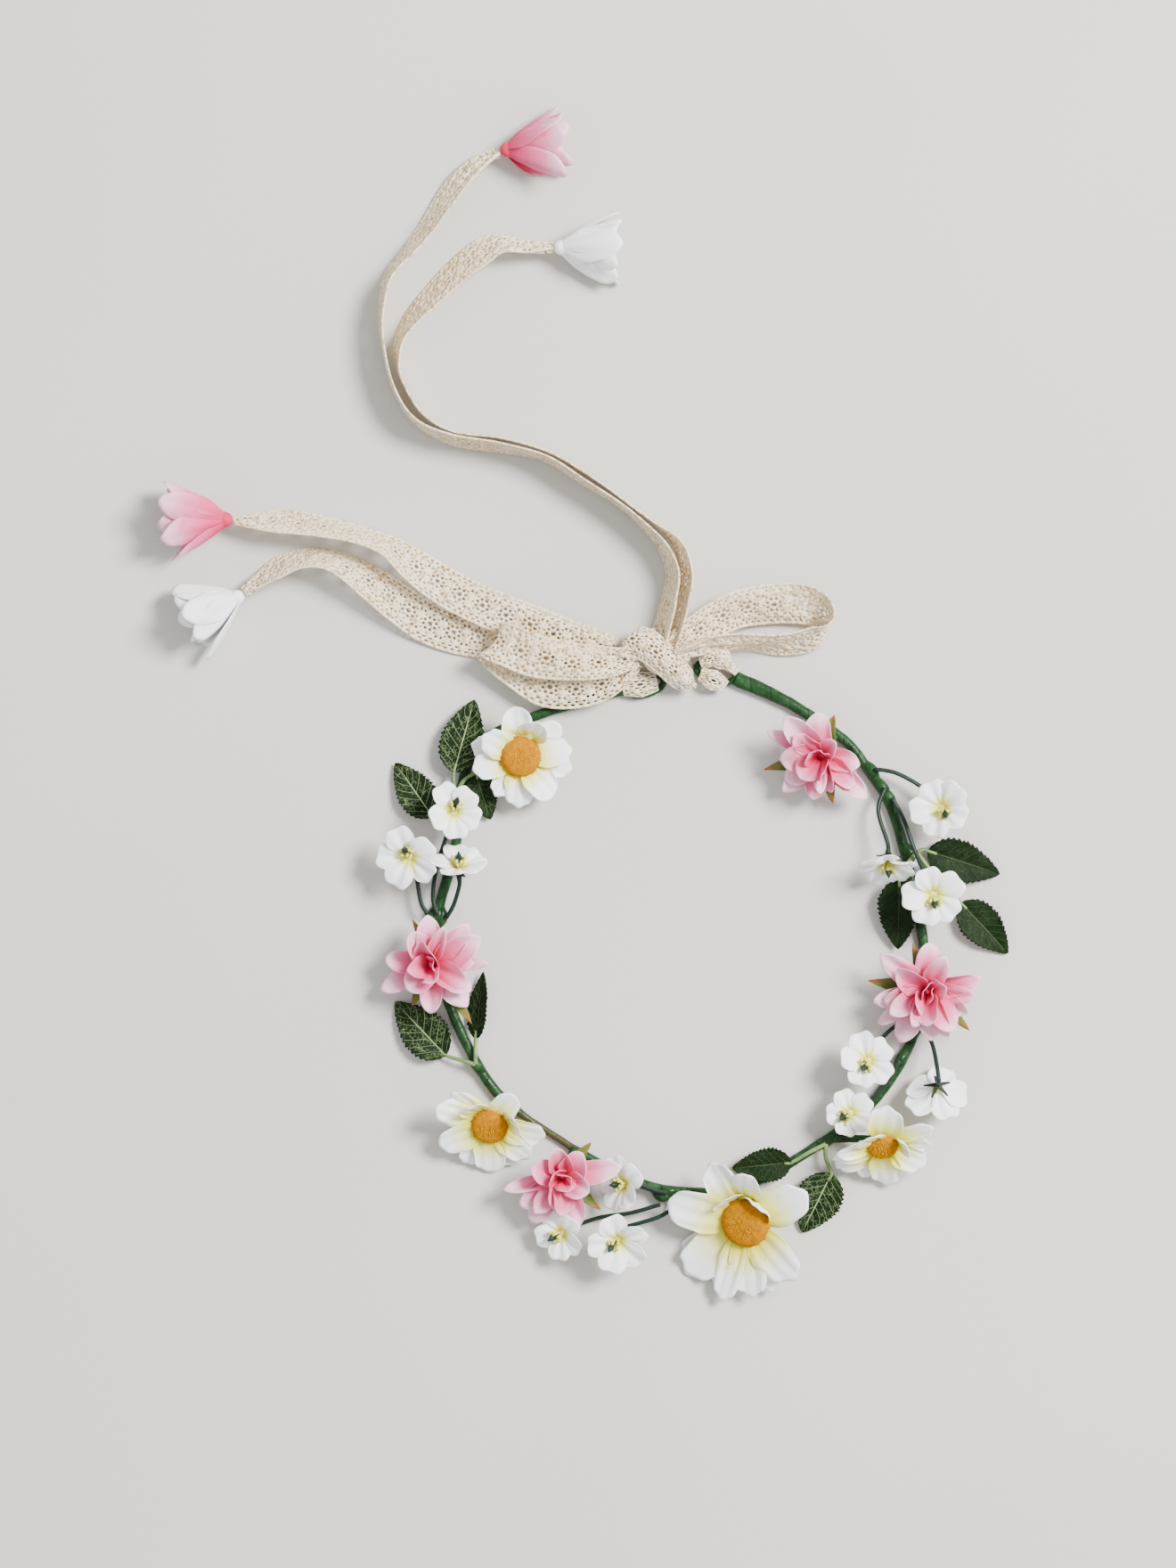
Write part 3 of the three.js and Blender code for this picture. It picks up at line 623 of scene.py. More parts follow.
def sheet(width, outline, start, end, reach=None, length=None, out=0.0, tip=0.4, point=0.0,
          channel=0.0, grooves=0, depth=0.0, lobes=0, scallop=0.0, ruffle=0.0, curl=0.0, phase=0.0,
          power=1.0, rows=12, cols=11):
    """A petal as a grid that runs out along +X and faces +Z, with its marks.

    Its rise goes from start to end degrees. Its tip is an arc over its last part, drawn to a point by point
    and cut into lobes by scallop. channel lifts its sides, grooves run along it, ruffle waves its rim and
    curl lifts one side of it.
    """
    v = np.linspace(0, 1, rows)[:, None]
    angle = np.linspace(-math.pi / 2, math.pi / 2, cols)[None, :]
    u, w = np.sin(angle), angle / (math.pi / 2)
    half = width / 2 * np.interp(v, *zip(*outline))
    cap = tip * ((1 - point) * (1 - np.cos(angle)) + point * np.abs(w))
    cut = scallop * (0.5 + 0.5 * np.cos(math.pi * (lobes * w + lobes % 2))) * (1 - w**6 * 0.6)
    s = v * (1 - cap - cut * v**4)
    fine = np.linspace(0, 1, RISE_STEPS + 1)
    rise = np.radians(start + (end - start) * fine**power)
    run, climb = (
        np.concatenate([[0], np.cumsum((way(rise[1:]) + way(rise[:-1])) / 2) / RISE_STEPS])
        for way in (np.cos, np.sin)
    )
    if length is None:
        length = (reach - out) / max(run[-1], 0.6)
    lean = np.interp(s, fine, rise)
    lift = channel * half * u**2 + curl * half * u * s
    lift = lift + depth * np.cos(grooves * math.pi * u + phase) * np.sin(math.pi * np.clip(s, 0, 0.9) / 1.1)
    lift = lift + ruffle * np.sin(2.6 * w * (1 + 0.4 * math.sin(phase)) + 4.1 * phase) * s**2.5
    x = length * np.interp(s, fine, run) - np.sin(lean) * lift
    z = length * np.interp(s, fine, climb) + np.cos(lean) * lift
    grid = np.stack([x + out, u * half * np.ones_like(v), z], axis=-1)
    return grid, np.stack([s * np.ones_like(u), w * np.ones_like(v)], axis=-1)


def add_sheet(piece, grid, marks, tint, thickness, kind=0):
    """Adds a grid with its marks to a piece, as a closed shell of one tint."""
    points, faces = shell(grid, thickness)
    tints = np.full((marks.shape[0] * marks.shape[1], 1), tint)
    piece.add(points, faces, np.tile(np.concatenate([marks.reshape(-1, 2), tints], axis=1), (2, 1)), kind)


def place_sheet(piece, made, azimuth, base, turn, up=0.0, twist=0.0, tint=0.0, thickness=0.22, floor=0.3):
    """Puts a sheet on a head at an azimuth, up along its axis, and turns it with the head.
    What would go under the floor is bent up to it."""
    grid, marks = made
    local = (grid @ turn_about((1, 0, 0), twist).T + np.array([0, 0, up])) @ turn_z(azimuth).T
    world = local @ turn.T + np.array(base)
    world[..., 2] = floor + np.logaddexp(0, (world[..., 2] - floor) * 2.0) / 2.0
    add_sheet(piece, world, marks, tint, thickness)


# Half widths of the petals, as shares of their widest, at fractions of their length.
DAISY_OUTLINE = ((0, 0.42), (0.15, 0.55), (0.4, 0.88), (0.62, 1.0), (1, 0.9))
PINK_OUTLINE = ((0, 0.3), (0.15, 0.45), (0.4, 0.85), (0.62, 1.0), (1, 0.92))
WHITE_OUTLINE = ((0, 0.2), (0.2, 0.32), (0.5, 0.72), (0.75, 0.97), (1, 1.0))
BELL_OUTLINE = ((0, 0.2), (0.2, 0.5), (0.5, 0.92), (0.75, 1.0), (1, 0.9))
SEPAL_OUTLINE = ((0, 0.7), (0.35, 1), (0.7, 0.85), (1, 0.45))
COLLAR_OUTLINE = ((0, 1), (0.4, 0.8), (0.8, 0.5), (1, 0.3))

# Petals of the daisies: azimuth, reach from the middle, width, rise at the base and tip, height of the
# base.
DAISIES = {
    "daisy_right": dict(
        base=(65.5, -67.5, 12.5), disc=5.4, facing=270, tilt=38, flush=0.85, seed=3, petals=[
        (-112, 17, 8, 0, 0, 0), (-142, 19.5, 9.5, 3, 0, 0), (-3, 17, 8.5, 5, 2, 0), (32, 20, 9, 14, 6, 0.2),
        (180, 16, 7.5, 24, 20, 0.3), (-29, 17.5, 10.5, 12, -2, 0.7), (-163, 18, 9, 14, 4, 0.7),
        (-82, 18.5, 11.5, 10, -8, 0.9), (86, 17.5, 13, 14, -12, 0.9), (20, 11, 7, 52, 66, 0.9),
        (128, 13, 10.5, 36, 40, 1.0),
    ]),
    "daisy_front": dict(
        base=(19, -95, 10), disc=8.7, facing=220, tilt=22, flush=0.8, seed=5, petals=[
        (177, 29.8, 12.5, -4, -6, -0.3), (212, 30, 11, -2, -2, -0.3), (245, 29.4, 9.5, -4, 0, -0.2),
        (287, 27.6, 10.5, -4, -2, -0.2), (120, 24.5, 13, 14, 0, 0.2), (31, 26.4, 15.5, 20, 2, 0.3),
        (165, 27.6, 15.5, 18, 2, 0.9), (223, 30, 16, 6, 2, 0.8), (253, 30, 10.5, 10, 0, 0.6),
        (273, 27.8, 13.8, 10, -6, 0.9), (310, 26.2, 15.5, 18, -26, 0.6), (80, 21.5, 11.5, 44, 26, 0.8),
        (124, 13, 13.5, 58, 80, 0.4), (50, 13, 13, 58, 80, 0.4),
    ]),
    "daisy_left_front": dict(
        base=(-70, -61.5, 8.5), disc=6.4, facing=268, tilt=24, flush=0.84, seed=8, petals=[
        (240, 18.2, 9, 2, -2, 0), (296, 18.6, 9, 0, -4, 0), (133, 19, 9.5, 12, 2, 0),
        (57, 16.5, 10, 22, 8, 0.4), (155, 20.5, 10.5, 14, 2, 0.5), (318, 18.6, 10.5, 12, -4, 0.5),
        (203, 19, 11.2, 12, 0, 0.9), (350, 19.6, 11, 14, -2, 0.8), (270, 19.2, 11.8, 8, -6, 0.9),
        (22, 12.5, 9.5, 50, 64, 1.0), (120, 14, 10.5, 42, 56, 1.0),
    ]),
    "daisy_left_back": dict(
        base=(-59.5, 65.5, 9), disc=7.2, facing=300, tilt=6, flush=0.72, seed=11, petals=[
        (39, 17.8, 9, 4, 0, 0), (-14, 18.6, 9.5, 2, 0, 0), (-122, 16.5, 8.5, 2, -4, 0),
        (166, 17.6, 9, 4, 0, 0), (-164, 17.2, 10.5, 12, 0, 0.8), (-92, 18, 10.8, 10, -8, 0.6),
        (8, 18.2, 10.4, 14, 0, 0.9), (-52, 18.2, 11.2, 14, -4, 0.9), (95, 17.4, 11.4, 16, 4, 0.9),
        (150, 15.6, 10.6, 28, 16, 1.0), (62, 13.2, 11, 44, 58, 1.1),
    ]),
}


GOLDEN_ANGLE = math.pi * (3 - math.sqrt(5))
FIBRE_HALF = 0.17


def tuft(piece, radius, height, base, turn, bottom, count, grain):
    """A flocked dome with short thick fibres all over it; the dome and the fibre roots are marked dark for
    painted shade between the fibres.
    """
    rings = np.linspace(0, 1, 9)
    line = np.stack([np.zeros(9), np.zeros(9), bottom + height * (1 - (1 - rings) ** 2)], axis=1)
    line[-1, 2] += 0.05
    widths = radius * np.sqrt(np.clip(1 - (rings * 0.995) ** 2.2, 0.001, 1))
    # the dome's low mark paints shade under the fibres
    piece.add_turned(line, widths, 20, turn, base, (0.25, 0, 0))
    for k in range(count):
        share = math.sqrt((k + 0.5) / count)
        out = leaning(share * 1.4, k * GOLDEN_ANGLE + grain.uniform(-0.2, 0.2))
        root = out * np.array([radius, radius, height]) * 0.95 + [0, 0, bottom]
        out = unit(out * [1, 1, 1.3] + grain.normal(0, 0.22, 3))
        long = grain.uniform(0.5, 1.25)
        side = unit(np.cross(out, [0.3, 0.8, 0.1]))
        other = np.cross(out, side)
        corners = [root + way * FIBRE_HALF for way in (side, other, -side, -other)]
        tips = [root + out * long + (c - root) * 0.5 for c in corners]
        quads = [(0, 1, 5, 4), (1, 2, 6, 5), (2, 3, 7, 6), (3, 0, 4, 7), (4, 5, 6, 7)]
        # roots marked dark for painted shade between fibres, tips at random tones
        shade = np.array([[0.3, 0, 0]] * 4 + [[grain.uniform(0.4, 1.0), 0, 0]] * 4)
        piece.add(np.array(corners + tips) @ turn.T + base, quads, shade)


for name, d in DAISIES.items():
    grain = np.random.default_rng(d["seed"])
    draw = grain.uniform
    turn = attitude(d["facing"], d["tilt"])
    base = np.array(d["base"], float)
    disc = d["disc"]
    petals = Piece()
    for azimuth, reach, width, start, end, level in d["petals"]:
        notched = draw(0.0, 0.07)
        made = sheet(width, DAISY_OUTLINE, start + draw(-3, 3), end + draw(-6, 6), reach=reach,
                     out=disc * (0.9 if start > 40 else 0.35), tip=0.33, channel=draw(0.05, 0.3), grooves=3,
                     depth=draw(0.25, 0.5), lobes=3, scallop=notched, ruffle=draw(0.3, 1.0),
                     curl=draw(-0.25, 0.25), phase=draw(0, 3), rows=16, cols=15)
        place_sheet(petals, made, azimuth, base, turn, up=0.5 + level, twist=draw(-6, 6), tint=d["flush"])
    petals.build(name + "_whorl", [WHITE], "hoop", "white_petal", name + "_petals")
    head = Piece()
    tuft(head, disc, 0.55 * disc, base, turn, 1.4, int(20 * disc**1.9), grain)
    head.build(name + "_flock", [FLOCK], "hoop", "gold_disc", name + "_disc")

# Petals of the pink flowers: azimuth, reach, width, rise at the base and tip, height of the base, paleness.
PINKS = {
    "pink_right_back": dict(base=(44.5, 65.5, 10.5), facing=225, tilt=10, seed=21,
        sepals=[(194, 20.5, 6.5), (284, 17.2, 6.5), (72, 15, 6.5)], petals=[
        (220, 18.2, 7.5, 2, -4, 0.2, 0.3), (256, 15.8, 9, 6, -2, 0.4, 0.12),
        (152, 20.5, 6, 12, 8, 0.6, 0.2), (316, 21.8, 8, 4, 0, 0.3, 0.25), (211, 15, 8, 14, 2, 0.9, 0.28),
        (93, 16, 9.2, 24, 10, 0.8, 0.3), (128, 19, 10, 30, 12, 1.2, 0.34), (343, 14, 8, 16, 6, 0.9, 0.18),
        (311, 15.8, 7.5, 18, 4, 1.2, 0.08), (295, 12.8, 6.5, 26, 8, 1.6, 0.02),
        (181, 14, 10.5, 34, 6, 1.8, 0.16), (236, 10, 10.5, 40, 14, 2.4, 0.02),
        (268, 12.4, 5, 34, 14, 2.2, 0.2), (125, 11.5, 8.5, 44, 26, 2.2, 0.06),
        (40, 8.5, 7.5, 48, 34, 1.6, 0.12), (300, 7, 8, 60, 52, 2.6, -0.04), (150, 6, 8, 66, 66, 2.8, -0.08),
        (60, 6, 7, 70, 74, 2.6, -0.1),
    ]),
    "pink_right": dict(base=(81, -15.5, 11), facing=235, tilt=6, seed=22,
        sepals=[(171, 20.5, 6.5), (317, 20.5, 6), (107, 17, 5)], petals=[
        (-114, 20.2, 9.2, 0, -4, 0.1, 0.36), (-81, 17.2, 8, 12, 8, 0.6, 0.34),
        (-148, 20.4, 5.5, 2, 0, 0.2, 0.25), (-165, 18.8, 7.5, 8, 0, 0.5, 0.3),
        (-27, 16.4, 8.5, 6, 0, 0.5, 0.26), (139, 21.4, 8.8, 14, 6, 0.7, 0.32),
        (87, 17.2, 9.4, 16, 4, 0.7, 0.16), (17, 19.2, 8, 16, 0, 1.0, 0.12),
        (-62, 17.4, 8.5, 14, 6, 1.0, 0.3), (0, 16.6, 8, 22, 4, 1.4, 0.1),
        (-168, 15.4, 9.6, 26, 4, 1.5, 0.12), (-141, 15, 8.2, 28, 2, 1.7, 0.22),
        (62, 14.6, 8, 38, 22, 1.9, 0.18), (131, 13.2, 9.4, 36, 18, 1.9, 0.1),
        (-50, 16, 10.4, 30, -2, 2.1, 0.14), (-103, 12.8, 5.5, 34, 16, 2.2, 0.1),
        (-78, 11.4, 10.4, 42, 10, 2.6, 0.06), (-122, 7.5, 9, 56, 30, 3.0, 0.04),
        (20, 7, 8.5, 60, 56, 3.0, -0.04), (130, 5.5, 8, 72, 74, 3.0, -0.1), (-20, 5, 7, 76, 84, 3.0, -0.1),
    ]),
    "pink_left_front": dict(base=(-45, -79.5, 11), facing=280, tilt=6, seed=23,
        sepals=[(49, 15.5, 6), (318, 18.2, 6)], petals=[
        (-145, 18.2, 8, 2, -2, 0.2, 0.22), (-124, 20, 8.5, 2, -4, 0.3, 0.28),
        (-168, 21, 5.5, 4, 0, 0.3, 0.26), (8, 21, 8.6, 10, 2, 0.5, 0.3), (-66, 18.8, 8, 8, -4, 0.6, 0.2),
        (-124, 16, 8, 14, 0, 1.0, 0.16), (-91, 13.8, 7.8, 20, 2, 1.3, 0.08),
        (-102, 11.4, 7.5, 30, 8, 1.8, 0.04), (108, 11, 8.5, 36, 22, 1.4, 0.06),
        (52, 11.4, 9.5, 38, 24, 1.8, 0.1), (165, 11, 9.5, 36, 14, 1.9, 0.06),
        (-29, 10.4, 9.5, 40, 10, 2.3, 0.16), (130, 6, 8, 62, 58, 2.6, -0.04),
        (-60, 5.5, 7.5, 64, 60, 2.8, -0.04), (20, 4.8, 7, 74, 80, 2.8, -0.1),
    ]),
    "pink_left": dict(base=(-90, -6.5, 10.5), facing=200, tilt=8, seed=24,
        sepals=[(-56, 25, 6.5), (-116, 16.5, 6), (113, 17, 5)], petals=[
        (205, 20, 8.8, 4, -2, 0.2, 0.32), (-48, 19.2, 10, 2, -4, 0.1, 0.42), (2, 20.6, 5, 4, 2, 0.3, 0.24),
        (51, 19.6, 8.4, 10, 2, 0.4, 0.26), (173, 16, 7.8, 10, 2, 0.7, 0.14), (96, 17.4, 9, 18, 6, 0.8, 0.2),
        (-89, 17, 8.4, 12, -4, 0.9, 0.22), (29, 20.6, 10.4, 22, 4, 1.2, 0.2), (-35, 17, 8, 16, 0, 0.9, 0.2),
        (5.6, 15.4, 6.5, 20, 4, 1.4, 0.04), (67, 15.2, 6, 34, 18, 1.7, 0.14),
        (121, 13.2, 9.4, 34, 20, 1.9, 0.16), (-25, 14.4, 8.8, 30, 4, 2.0, 0.06),
        (-141, 11.4, 9.6, 38, 6, 2.2, 0.16), (85, 8, 10, 52, 46, 2.6, 0.02),
        (-60, 6.5, 8.5, 60, 56, 2.8, -0.02), (-165, 6.5, 8.5, 58, 54, 2.8, -0.02),
        (40, 5.5, 7, 72, 78, 2.8, -0.1),
    ]),
}

for name, d in PINKS.items():
    draw = np.random.default_rng(d["seed"]).uniform
    turn = attitude(d["facing"], d["tilt"])
    base = np.array(d["base"], float)
    petals = Piece()
    for azimuth, reach, width, start, end, level, paler in d["petals"]:
        made = sheet(width, PINK_OUTLINE, start + draw(-3, 3), end + draw(-8, 8), reach=reach, out=1.0,
                     tip=0.42, point=draw(0.15, 0.55), channel=draw(0.1, 0.8), grooves=2,
                     depth=draw(0.2, 0.6), ruffle=draw(0.6, 1.8), curl=draw(-0.7, 0.7),
                     phase=draw(0, 6), rows=14, cols=13)
        place_sheet(petals, made, azimuth + draw(-5, 5), base, turn, up=level, twist=draw(-18, 18),
                    tint=paler - 0.12)
    heart = [[0, 0, -0.3], [0, 0, 0.6], [0, 0, 1.6]]
    petals.add_turned(heart, [2.6, 3.0, 1.2], 10, turn, base, (0.02, 0, 0))
    petals.build(name + "_whorl", [PINK], "hoop", "pink_petal", name + "_petals")
    calyx = Piece()
    for azimuth, reach, width in d["sepals"]:
        made = sheet(width, SEPAL_OUTLINE, -4, 4, reach=reach, out=0.5, tip=0.3, point=0.9, channel=0.3,
                     grooves=1, depth=0.2, ruffle=0.5, phase=draw(0, 6), rows=12, cols=9)
        place_sheet(calyx, made, azimuth, base, turn, up=-0.7, twist=draw(-14, 14))
    cup = [[0, 0, -1.6], [0, 0, -1.1], [0, 0, -0.5]]
    calyx.add_turned(cup, [1.6, 2.6, 3.4], 12, turn, base, (0.1, 0, 0))
    calyx.build(name + "_calyx", [SEPAL], "hoop", "sepal", name + "_sepals")


# ---- White blossoms on their stems ----
# Each blossom: throat, radius, the way it faces, its tilt and spin, how far its stem comes up straight to
# the throat from behind, which way its stamens lean and by how much, and the route of its stem.
BLOSSOMS = [
    ("right_back_outer", (86.5, 47.5, 11), 11.5, 180, 20, 10, 4, (-43, 36),
     [(63.5, 61, 5.7), (71, 59.5, 6.4), (80, 54.5, 6.4)]),
    ("right_back_inner", (67.5, 30.5, 13), 11, 270, 62, 0, 4, (270, 0),
     [(67, 54.5, 5.7), (64.5, 46.5, 7.5)]),
    ("right_back_middle", (83, 18, 12.5), 11.5, 270, 10, 0, 4, (275, 28),
     [(69.5, 51, 5.7), (73.5, 43, 7.2), (77, 33, 8.8)]),
    ("right_inner", (60.5, -40, 11), 10.5, 90, 8, 0, 4, (240, 32),
     [(75.5, -26, 5.7), (70, -28.5, 5.7), (64, -34.5, 5.7)]),
    ("right_outer", (84.5, -48.5, 14), 11.8, 270, 142, 36, 4, (0, 0),
     [(79, -28.5, 5.7), (83, -34, 9)]),
    ("right_front", (54.5, -58, 8.3), 9, 110, 6, 0, 0, (217, 32),
     [(72, -40, 5.7), (67.5, -48, 5.7), (61, -55, 5.7), (57, -57.5, 5.8)]),
    ("front_inner", (-22.5, -82.5, 9.5), 10.5, 180, 42, 0, 2.5, (180, 8),
     [(-8.5, -86, 5.8), (-13, -85, 5.8)]),
    ("front_middle", (-26, -101, 10), 11.5, 285, 22, 0, 4, (200, 32),
     [(-5.5, -90.5, 5.7), (-12, -94.5, 5.7)]),
    ("front_outer", (-44.6, -99.4, 5.8), 9.5, 208, 25, 10, 2.5, (202, 22),
     [(-11, -90, 5.7), (-21, -93, 4), (-32, -94.8, 2.6)]),
    ("left_outer", (-97.5, 31, 11), 11.5, 225, 15, 0, 4, (100, 32),
     [(-91.6, 10.5, 5.7), (-94.2, 16, 5.9)]),
    ("left_back", (-82.5, 46, 11), 10.5, 60, 8, 20, 4, (75, 36),
     [(-88.3, 10.5, 5.7), (-89.8, 17, 5.6), (-88.4, 27, 5.2), (-85, 38, 5.9)]),
    ("left_inner", (-80.5, 25.5, 12), 11, 90, 62, 0, 4, (90, 0),
     [(-85, 9.5, 5.7), (-82.5, 14, 7)]),
]
STAMENS, PISTIL_LENGTH = 12, 8.0
STEM_END, STEM_SIDE_END, STEM_RADIUS = 1.6, 2.4, 0.74


def body_of_node(node):
    return next(body for body, nodes in frame["record"]["behaviour"]["bodies"].items() if node in nodes)


for number, (name, throat, radius, facing, tilt, spin, approach, lean, stem) in enumerate(BLOSSOMS):
    draw = np.random.default_rng(40 + number).uniform
    node = "blossom_" + name
    body = body_of_node(node)
    turn = attitude(facing, tilt, spin)
    base = np.array(throat, float)
    flower = Piece()
    for k in range(5):
        made = sheet(radius * draw(0.82, 0.92), WHITE_OUTLINE, 66, -4 + draw(-10, 10),
                     length=radius * draw(0.98, 1.12), out=0.5, power=0.6, tip=0.34,
                     channel=draw(0.0, 0.3), grooves=2, depth=-0.35, lobes=2, scallop=0.08, ruffle=0.5,
                     curl=draw(-0.25, 0.25), phase=draw(-0.4, 0.4), rows=16, cols=17)
        place_sheet(flower, made, 72 * k + 36 + draw(-6, 6), base, turn, up=0.1 + 0.12 * (k % 2),
                    twist=draw(-4, 12), tint=0.2 if tilt > 90 else 0.5)
    cup = [[0, 0, -0.2], [0, 0, 0.9], [0, 0, 1.6]]
    flower.add_turned(cup, [0.9, 2.1, 0.8], 10, turn, base, kind=1)
    tuft_turn = attitude(*lean) @ turn
    for k in range(STAMENS + 1):
        pistil = k == STAMENS
        spread = math.radians(0 if pistil else draw(14, 30))
        out = leaning(spread, 2.4 * k + draw(-0.3, 0.3))
        long = PISTIL_LENGTH if pistil else draw(5.0, 6.4)
        line = [[0, 0, 0.4], out * long * 0.5, out * long * 0.72, out * long]
        sizes = [0.4, 0.5, 1.25, 0.2] if pistil else [0.3, 0.3, 0.36, 0.6]
        kind = 2 if pistil else 1
        flower.add_turned(line, sizes, 6, tuft_turn, base, kind=kind, up=(0.31, 0.9, 0.1))
    flower.build(node + "_corolla", [WHITE, STAMEN, STEM], body, "white_petal", node)

    behind = turn @ -UP
    ends = (STEM_END + approach, STEM_END) if approach > 0 else (STEM_SIDE_END,)
    line = evenly(through([*stem, *[tuple(base + behind * far) for far in ends]], 80), 0.8)
    stalk = Piece()
    swell = 1 + 0.35 * np.exp(-((lengths(line)[-1] - lengths(line)) / 1.5) ** 2)
    stalk.add(*tube(line, STEM_RADIUS * swell, 10))
    for k in range(5):
        made = sheet(1.5, COLLAR_OUTLINE, 38, 12, length=0.42 * radius, out=0.5, tip=0.1, channel=0.2,
                     rows=6, cols=5)
        place_sheet(stalk, made, 72 * k + 10, base + behind * 1.5, turn, thickness=0.4)
    stalk.build("stem_" + name + "_moulded", [STEM], body, "stem_plastic", "stem_" + name)


# ---- Leaf sprigs ----
# Each sprig: the root of its petioles, then for every leaf its base, tip, width, roll, a point on its
# petiole, and how pale its veins are.
SPRIGS = {
    "leaf_sprig_right": ((78, 32, 5.4), [
        ((82, 32.5, 4.4), (107, 24.5, 2.2), 15, 4, (80, 33, 5.2), 0.12),
        ((72, 23, 6.2), (71.5, -1.5, 3.2), 14.5, 8, (74.5, 28, 6.2), 0.10),
        ((93.5, 14.5, 3.2), (110, -3, 1.6), 14, -4, (86, 22, 4.2), 0.14),
    ]),
    "leaf_sprig_front": ((46.5, -69, 5.4), [
        ((48.5, -79.5, 3.6), (38.5, -100, 1.6), 16, 0, (46.5, -74, 4.8), 0.8),
        ((34.5, -75.5, 5.2), (14, -77.5, 5.2), 12, 0, (40.5, -72, 5.6), 0.15),
    ]),
    "leaf_sprig_left_front": ((-75, -41.5, 5.4), [
        ((-85.5, -38.5, 3.2), (-103, -20, 1.6), 16, 0, (-80, -40, 4.6), 0.75),
        ((-75, -32.5, 4.6), (-72.5, -9.5, 3.4), 10, -40, (-75, -37, 5.4), 0.3),
    ]),
    "leaf_sprig_left_back": ((-82, 52, 5.4), [
        ((-90, 44.5, 3.2), (-103, 63, 2), 13.5, 0, (-86, 47.5, 4.6), 0.9),
        ((-82.5, 60, 5.8), (-75.5, 85, 4.4), 15.5, -8, (-82.5, 56, 5.8), 0.95),
        ((-75, 59.5, 5.6), (-70, 43.5, 2.4), 11, 0, (-79, 57, 6), 0.3),
    ]),
}
LEAF_ROWS = 58
LEAF_TEETH = 15


def leaf(base, tip, width, roll, seed):
    """A serrated blade from base to tip as a grid with marks."""
    base, tip = np.array(base, float), np.array(tip, float)
    along = tip - base
    length = np.linalg.norm(along)
    along = along / length
    across = unit(np.cross(UP, along))
    up = np.cross(along, across)
    v = np.linspace(0, 1, LEAF_ROWS)[:, None]
    u = np.linspace(-1, 1, 13)[None, :]
    wide = np.abs(u)
    half = width / 2 * 1.16 * np.sin(math.pi * v**0.78) ** 0.72 * (1 - 0.2 * v)
    tooth = 1 - 0.17 * ((v * LEAF_TEETH + 0.2 * np.sign(u)) % 1.0) * (wide > 0.99)
    comb = np.abs(((v - LEAF_SWEEP * wide) * LEAF_VEINS) % 1.0 - 0.5)
    side_veins = 0.28 * np.exp(-((comb / 0.13) ** 2)) * np.sin(math.pi * v)
    z = 0.16 * half * wide + side_veins - 0.35 * np.exp(-((u / 0.1) ** 2))
    z = z + 0.5 * np.sin(3.0 * v + seed) * u - 0.9 * (v - 0.4) ** 2
    z = z + 0.25 * np.sin(9 * v + 2 * seed + 3 * u) * wide
    grid = np.stack([length * v * np.ones_like(u), u * half * tooth, z], axis=-1)
    grid = grid @ turn_about((1, 0, 0), roll).T
    world = base + grid[..., :1] * along + grid[..., 1:2] * across + grid[..., 2:] * up
    world[..., 2] = np.maximum(world[..., 2], 0.3)
    return world, np.stack([v * np.ones_like(u), u * np.ones_like(v)], axis=-1)


for name, (root, leaves) in SPRIGS.items():
    sprig = Piece()
    for number, (base, tip, width, roll, way, pale) in enumerate(leaves):
        blade, marks = leaf(base, tip, width, roll, 1.3 * number + len(name))
        add_sheet(sprig, blade, marks, pale, 0.3)
        into = np.array(base) + (np.array(tip) - np.array(base)) * 0.12
        line = evenly(through([root, way, base, tuple(into)], 60), 0.8)
        line[:, 2] -= np.linspace(0, 0.25, len(line))
        sprig.add(*tube(line, np.linspace(0.8, 0.55, len(line)), 8), 1)
    sprig.build(name + "_leaves", [LEAF, STALK], "hoop", "leaf", name)


# ---- Hoop: the tape wound over the wire, and the eyes at its ends ----
HOOP_CENTRE = np.array([-4.5, 2.5])
HOOP_ROUTE = [
    (78.5, 92.5), (64.5, 90), (50, 89.5), (42, 88), (31.5, 86.5), (15, 83.5), (1.5, 84.5), (-8, 86),
    (-24, 88.5), (-41, 88.5), (-55, 87), (-76, 89.5), (-92, 88), (-105, 84.5), (-120, 81.5), (-139, 83),
    (-157, 82.5), (-173, 84), (-185, 84), (-203, 84), (-218, 94), (-227, 95.5), (-236, 92), (-246, 89),
    (-258.5, 88),
]
HOOP_STEP = 0.7
# Where round the hoop, in degrees, the short stem of each large flower head starts.
NECKS = {
    "daisy_right": -53.5, "daisy_front": -76, "daisy_left_front": -136, "daisy_left_back": -229,
    "pink_right_back": 52, "pink_right": -12, "pink_left_front": -116, "pink_left": -174,
}
NECK_RADIUS = 1.45
TAPE_HALF = 2.1
TAPE_SIDES = 16
BARE_MIDDLE = np.array([-49.25, -64.25])
BARE_REACH, BARE_FADE = 11.5, 1.2
END_SWELL, END_SHARE = 0.42, 0.045


def hoop_point(angle, distance):
    a = math.radians(angle)
    return [HOOP_CENTRE[0] + distance * math.cos(a), HOOP_CENTRE[1] + distance * math.sin(a), TAPE_HALF]


hoop_line = evenly(through([hoop_point(a, r) for a, r in HOOP_ROUTE], 2400), HOOP_STEP)
from_centre = hoop_line[:, :2] - HOOP_CENTRE
hoop_angles = np.degrees(np.unwrap(np.arctan2(from_centre[:, 1], from_centre[:, 0])))


def wound(s, angle):
    """The lap of the tape as it winds round, as a share of the radius."""
    lap = (s / TAPE_LAP + angle / (2 * math.pi)) % 1.0
    lumps = 0.03 * np.sin(s / 4.3 + 2 * angle) + 0.02 * np.sin(s / 1.9 - angle)
    return 0.86 + 0.09 * np.clip(lap * 6, 0, 1) * (1 - 0.6 * lap) + lumps


